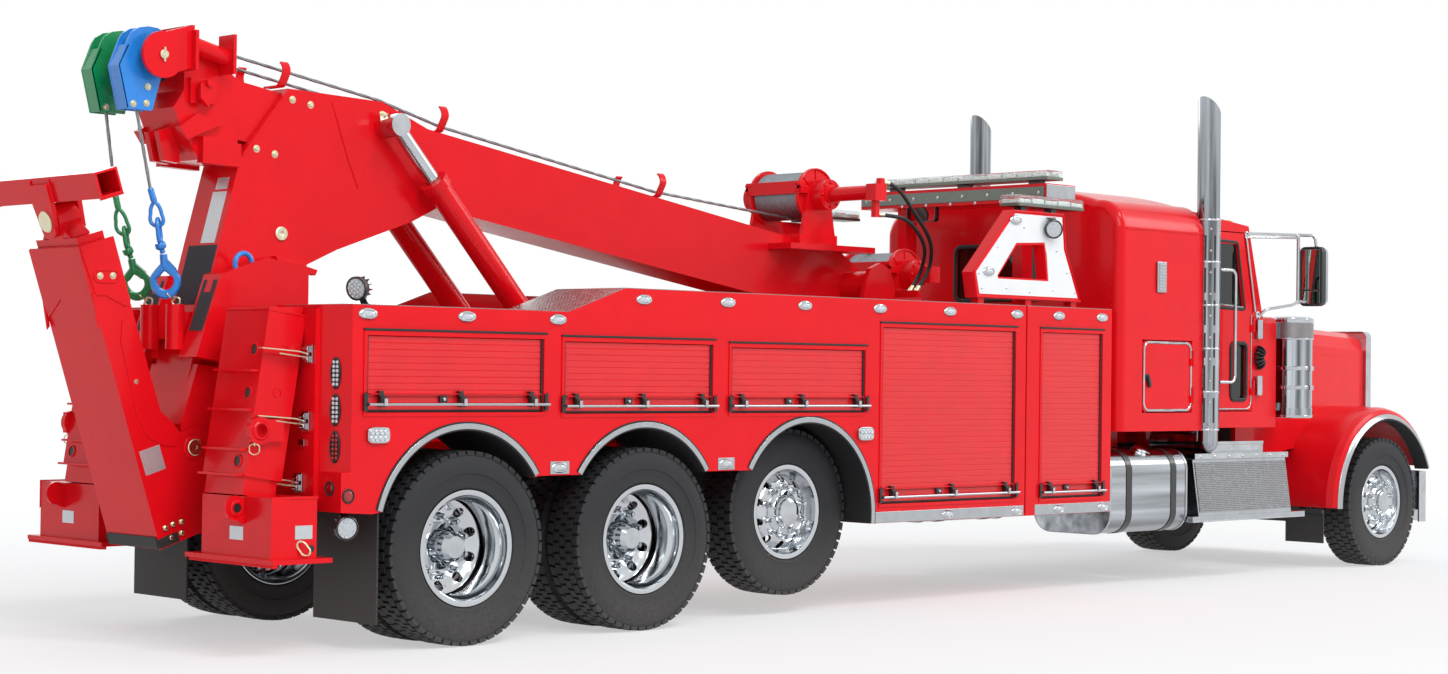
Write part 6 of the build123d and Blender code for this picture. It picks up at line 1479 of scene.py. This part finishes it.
pin = bmesh.new()
lathe(pin, [(0, 0), (60, 0), (60, 10), (54, 16), (0, 16)], arm_spot(0, swivel_along, 360), arm_back, 40)
add("swivel_pin_head", pin, zinc_plate, "crossbar")
yoke = bmesh.new()
lathe(yoke, [(62, 0), (78, 0), (78, 5), (74, 8), (62, 8)], arm_spot(0, swivel_along, 358), arm_back, 40)
for side in (-1, 1):
    tube(yoke, [arm_spot(side * 560, 1488, 196), arm_spot(side * 560, 1488, 340)], 5)
    tube(yoke, [arm_spot(side * 96, 1496, 342), arm_spot(side * 96, 1620, 342)], 6)
add("crossbar_welds", yoke, red_enamel, "crossbar")
head = bmesh.new()
shoulder = [(-150, 1290), (-76, 1352), (76, 1352), (150, 1290)]
weave(head, [[arm_spot(y, along, behind) for y, along in shoulder] for behind in (204, 332)])
add("swivel_head_shoulder", head, red_enamel, "underlift_extension", bevel=5.0)

# ---- outriggers and tail ------------------------------------------------------------------------
# Leaning leg boxes of welded plate with holes and ribs, draw latches with flat zinc levers on the
# bulkhead, and feet whose rear edge is sawn into teeth to grip the road.
box_lean = math.radians(9)
box_rear = (-math.cos(box_lean), 0, math.sin(box_lean))
latch, lever, cap, rims, dark = (bmesh.new() for _ in range(5))
for side in (-1, 1):
    for y, z in ((985, 1621), (962, 1259), (905, 925)):
        slab(latch, (-944, -930), outboard(side, y - 30, y + 36), (z - 52, z + 52))
        for low, high in ((z - 44, z - 12), (z + 10, z + 44)):
            slab(latch, (-962, -942), outboard(side, y - 14, y + 20), (low, high))
        for dz in (-28, 0, 27):
            lathe(latch, [(0, 0), (9, 0), (9, 44), (0, 46)], at(-960, side * (y - 22), z + dz),
                  (0, side, 0), 12)
        tube(lever, rounded([at(-958, side * y, z), at(-1010, side * (y - 4), z + 14),
                             at(-1236, side * (y - 20), z + 30)], 20, 3), 0, across=(36, 6, (0, 1, 0)))
        tube(lever, [at(-960, side * (y + 8), z - 18), at(-1130, side * y, z + 2)], 5)
    slab(latch, (-946, -930), outboard(side, 905, 960), (1124, 1160))
    prism(cap, [(-1165, 1852), (-1165, 1866), (-918, 1834), (-918, 1820)], outboard(side, 528, 934))
    prism(cap, [(-1145, side * 560), (-1145, side * 905), (-1100, side * 925), (-936, side * 925),
                (-936, side * 540)], (1840, 1872), lie="flat")
    for z in (1643, 1410, 1045):
        face = at(-1161.5 - math.tan(box_lean) * (1850 - z), side * 850, z)
        lathe(rims, [(29, -2), (36, -2), (36, 5), (33, 7), (29, 7)], face, box_rear, 28)
        # Painted shade: a flat black disc inside each rim stands in for the dark inside of the hole.
        lathe(dark, [(0, 0), (29, 0), (29, 2), (0, 2)], face, box_rear, 28)
    for z in (1643, 1410, 1180):
        lathe(rims, [(20, 0), (27, 0), (27, 5), (20, 5)], at(-1030 - (1850 - z) * 0.158, side * 930, z),
              (0, side, 0), 24)
    lathe(rims, [(36, 0), (52, 0), (52, 5), (46, 9), (36, 9)], at(-1225, side * 966, 1210), (0, side, 0), 36)
add("latch_blocks", latch, chrome, bevel=1.5)
add("latch_levers", lever, zinc_plate)
add("leg_box_caps", cap, red_enamel, bevel=3.0)
add("leg_box_rims", rims, red_enamel)
# The black discs are painted shade for the holes.
add("leg_box_holes", dark, chassis_enamel)
ring = bmesh.new()
for side in (-1, 1):
    loop(ring, at(-1255, side * 950, 1140), at(-1255, side * 950, 1082), (52, Vector((0.7, -0.7, 0))), 3.5)
    tube(ring, [at(-1255, side * 950, 1168), at(-1255, side * 950, 1128)], 5)
add("lynch_pins", ring, zinc_plate)

for side_name, side in both_sides:
    body = f"outrigger_{side_name}"
    foot = bmesh.new()
    teeth, tooth_pitch = 27, 30
    comb = []
    for k in range(teeth):
        tip = 1247 - tooth_pitch * k
        comb += [(-1338, side * tip), (-1326, side * (tip - tooth_pitch / 2))]
    prism(foot, comb + [(-1300, side * 440), (-1300, side * 1247)], (498, 518), lie="flat")
    lug = [(-1352 + 66 * math.cos(a), 800 + 66 * math.sin(a)) for a in
           (math.radians(40 + 230 * k / 20) for k in range(21))]
    prism(foot, lug + [(-1270, 700), (-1230, 760), (-1270, 862)], outboard(side, 905, 931))
    lathe(foot, [(26, 0), (44, 0), (44, 7), (38, 10), (26, 10)], at(-1348, side * 931, 800), (0, side, 0), 32)
    slab(foot, (-1304, -1006), outboard(side, 1172, 1186), (852, 866))
    prism(foot, [(-1304, 700), (-1304, 862), (-1180, 862)], outboard(side, 1178, 1188))
    add(f"foot_teeth_{side_name}", foot, red_enamel, body, bevel=1.5)
    plates = bmesh.new()
    slab(plates, (-1303, -1299), outboard(side, 800, 925), (628, 700))
    slab(plates, (-1150, -1040), outboard(side, 1179, 1183), (640, 712))
    add(f"foot_label_plates_{side_name}", plates, blank_plate, body, bevel=0.6)
    # Painted shade: thin black discs stand in for the dark inside of the foot's holes.
    hole_shade_discs = bmesh.new()
    lathe(hole_shade_discs, [(0, 0), (24, 0), (24, 3), (0, 3)], at(-1348, side * 930, 800), (0, side, 0), 24)
    lathe(hole_shade_discs, [(0, 0), (20, 0), (20, 3), (0, 3)], at(-1045, side * 1180, 588), (0, side, 0), 24)
    add(f"foot_holes_{side_name}", hole_shade_discs, chassis_enamel, body)
    bow = bmesh.new()
    loop(bow, at(-1128, side * 1186, 626), at(-1092, side * 1222, 556), (46, Vector((0.5, -0.5, 0.4))), 6.5)
    add(f"foot_shackle_{side_name}", bow, zinc_plate, body)

hook = bmesh.new()
arc = [at(-905 + 56 * math.cos(a), -302, 2122 + 62 * math.sin(a)) for a in
       (math.radians(-50 + 255 * k / 24) for k in range(25))]
tube(hook, arc + [at(-948, -302, 2030)], 15, 14)
lathe(hook, [(0, 0), (24, 0), (28, 8), (28, 30), (0, 36)], at(-948, -302, 2010), (0, 0, 1), 18)
add("stored_hook", hook, blue_enamel, "boom")

# ---- light pylons, beam and light bars ----------------------------------------------------------
# Two welded A-frames faced with riveted white panels and a cross beam behind the sleeper carry LED
# light bars: clear polycarbonate covers over rows of lamp modules on an aluminium tray.
white_panel = surface("white_enamel_on_aluminium_panel", "ECEEEF", 0.18, grain=200.0, vary=0.02, coat=0.5)
cover = surface("clear_polycarbonate_cover", "F2F5F6", 0.06, grain=60.0, vary=0.03, rough_vary=0.02)
cover.node_tree.nodes["Principled BSDF"].inputs["Transmission Weight"].default_value = 0.85
cover.node_tree.nodes["Principled BSDF"].inputs["IOR"].default_value = 1.1
led = surface("led_module_reflector", "DFE7E2", 0.2, metallic=0.5, grain=8.0, vary=0.3, bump=0.5)
# Painted reflection: the dark olive grey of the beam band and the light bar trays stands in for the surround
# reflected in bright metal.
olive_reflection_metal = surface("aluminium_painted_olive_reflection", "70766F", 0.35, metallic=0.9, grain=30.0, vary=0.08)


def work_lamp(name, centre, facing, bracket):
    """A round LED work lamp with a finned black body, a flat bracket and three rings of lens cups."""
    facing = Vector(facing).normalized()
    body = bmesh.new()
    lathe(body, [(0, -58), (34, -54), (60, -26), (67, 0), (67, 16), (60, 20), (56, 12), (0, 12)], centre,
          facing, 36)
    up = facing.orthogonal().normalized()
    for k in range(12):
        a = math.tau * k / 12
        spoke = up * math.cos(a) + facing.cross(up) * math.sin(a)
        tube(body, [centre - facing * 0.04 + spoke * 0.02, centre - facing * 0.04 + spoke * 0.062], 0,
             across=(30, 4, facing))
    tube(body, rounded(bracket, 10, 3), 0, across=(46, 7, facing.cross(Vector((0, 0, 1)))))
    add(name, body, black_enamel)
    cells = bmesh.new()
    lathe(cells, [(0, 12), (56, 12), (55, 15), (0, 17)], centre, facing, 32)
    for count, r in ((1, 0.0), (6, 0.024), (10, 0.043)):
        for k in range(count):
            a = math.tau * k / count
            spot = centre + (up * math.cos(a) + facing.cross(up) * math.sin(a)) * r
            lathe(cells, [(0, 16), (8, 16), (8, 20), (5, 17), (0, 18)], spot, facing, 10)
    add(name + "_lens", cells, clear_lens)


for side_name, side in both_sides:
    panel = bmesh.new()
    outer = [(4450, 2112), (4412, 2260), (4832, 2682), (5362, 2682), (5386, 2452), (5552, 2112)]
    inner = [(4648, 2222), (4640, 2244), (4846, 2478), (5166, 2494), (5192, 2400), (5214, 2222)]
    y0, y1 = outboard(side, 1214, 1219)
    weave(panel, [[at(s, y, z) for s, z in line] for line, y in
                  ((outer, y0), (outer, y1), (inner, y1), (inner, y0))], looped=True)
    add(f"pylon_panel_{side_name}", panel, white_panel, bevel=1.0)
    turn = 0 if side < 0 else 180
    spots = [(at(s, side * 1219, z), (0, 0, turn)) for s, z in ((4470, 2150), (4438, 2250), (4640, 2440),
             (4800, 2620), (5330, 2640), (5300, 2440), (5420, 2290), (5520, 2150), (5000, 2140),
             (4740, 2160), (5260, 2160), (4930, 2590))]
    fit(f"pylon_rivets_{side_name}", set_out(bolt_shape(6, stainless), spots))
    rim = bmesh.new()
    edge = [(4413, 2085), (4378, 2260), (4817, 2708), (5385, 2708), (5412, 2455), (5594, 2085)]
    hoop(rim, [at(s + (8 if s < 4800 else -8), side * 1215, z + (-8 if z > 2400 else 8)) for s, z in edge],
         14, 9, (0, side, 0))
    add(f"pylon_edge_{side_name}", rim, red_enamel)
    lamp = [(at(s, side * 1219, z), (0, 0, turn)) for s, z in ((4835, 2636), (4543, 2268))]
    fit(f"pylon_lamps_{side_name}", set_out(marker_bezel, lamp))
    fit(f"pylon_lenses_{side_name}", set_out(marker_lens, lamp))

    work_lamp(f"work_lamp_{side_name}", at(5205, side * 1262, 2589), (-0.5, side * 0.86, -0.1),
              [at(5205, side * 1214, 2668), at(5205, side * 1255, 2668), at(5205, side * 1258, 2640)])
    work_lamp(f"deck_lamp_{side_name}", at(-640, side * 1010, 1985), (-0.94, side * 0.3, -0.15),
              [at(-560, side * 1010, 1892), at(-590, side * 1010, 1900), at(-618, side * 1010, 1950)])
    work_lamp(f"side_lamp_{side_name}", at(-827, side * 1190, 690), (-0.15, side * 0.98, -0.1),
              [at(-827, side * 1150, 775), at(-827, side * 1168, 770), at(-827, side * 1180, 735)])

band, ends, cage = bmesh.new(), bmesh.new(), bmesh.new()
slab(band, (5573, 5581), (-890, 890), (2848, 2932))
for side in (-1, 1):
    slab(ends, (5586, 5924), outboard(side, 899, 906), (2834, 2948))
# The beam band's dark olive colour is a painted reflection.
add("beam_band", band, olive_reflection_metal, bevel=1.5)
add("beam_ends", ends, mill_aluminium, bevel=2.0)
rows = [(at(5573, y, 2890), (0, 0, -90)) for y in range(-840, 841, 240)]
rows += [(at(5580, y, 2836), (0, 0, -90)) for y in range(-720, 721, 240)]
fit("beam_bolts", set_out(bolt_shape(8, stainless), rows))
tube(cage, rounded([at(5600, 430, 2822), at(5600, 430, 2716), at(5600, 150, 2716), at(5600, 150, 2822)], 26,
                   4), 0, across=(44, 8, (1, 0, 0)))
lathe(cage, [(0, -40), (40, -36), (60, -10), (62, 10), (0, 12)], at(5590, 290, 2766), (-1, 0, -0.2), 28)
add("beam_lamp_cage", cage, black_enamel)


def light_bar(name, x, y, z, along_y, modules):
    """An LED light bar filling a box: tray, feet, lamp modules under ribbed clear covers, end caps."""
    tray, blocks, shell, feet = (bmesh.new() for _ in range(4))
    slab(tray, x, y, (z[0], z[0] + 22))
    long, wide = (y, x) if along_y else (x, y)

    def brick(form, run, breadth, heights):
        """A box given along and across the bar."""
        slab(form, *((breadth, run) if along_y else (run, breadth)), heights)

    step, inset, deep, fins = (long[1] - long[0]) / modules, 8, 34, 5
    for k in range(modules):
        a0, a1 = long[0] + k * step + 10, long[0] + (k + 1) * step - 10
        rear, front = wide[0] + inset, wide[1] - inset
        for span, edge in (((rear, rear + deep), (rear - 3, rear + 1)),
                           ((front - deep, front), (front - 1, front + 3))):
            brick(blocks, (a0, a1), span, (z[0] + 24, z[0] + 52 + 6 * (k % 2)))
            for f in range(fins):
                c = a0 + (a1 - a0) * (f + 0.5) / fins
                brick(blocks, (c - 9, c + 9), edge, (z[0] + 28, z[0] + 48))
    covers = 4 if along_y else 2
    for k in range(covers):
        a0 = long[0] + (long[1] - long[0]) * k / covers + 2
        a1 = long[0] + (long[1] - long[0]) * (k + 1) / covers - 2
        section = [(wide[0], z[0] + 20), (wide[1], z[0] + 20), (wide[1] - 2, z[1] - 14), (wide[1] - 14, z[1]),
                   (wide[0] + 14, z[1]), (wide[0] + 2, z[1] - 14)]
        prism(shell, section, (a0, a1), lie="side" if along_y else "front")
    for share in (0.1, 0.5, 0.9) if along_y else (0.16, 0.62):
        c = long[0] + (long[1] - long[0]) * share
        middle, half = (wide[0] + wide[1]) / 2, 52 if along_y else 30
        brick(feet, (c - half, c + half), (middle - 34, middle + 34), (z[0] - 36, z[0] + 1))
    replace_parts(add(f"{name}_tray", tray, olive_reflection_metal, bevel=2.0), "lamps")
    add(f"{name}_modules", blocks, led, bevel=1.5)
    add(f"{name}_covers", shell, cover, bevel=3.0)
    add(f"{name}_feet", feet, black_enamel, bevel=2.0)


light_bar("beam_light_bar", (5660, 5850), (-850, 850), (2990, 3060), True, 12)
light_bar("pylon_light_bar_right", (4930, 5680), (-1170, -1000), (2745, 2825), False, 5)
light_bar("pylon_light_bar_left", (4930, 5680), (1000, 1170), (2745, 2825), False, 5)
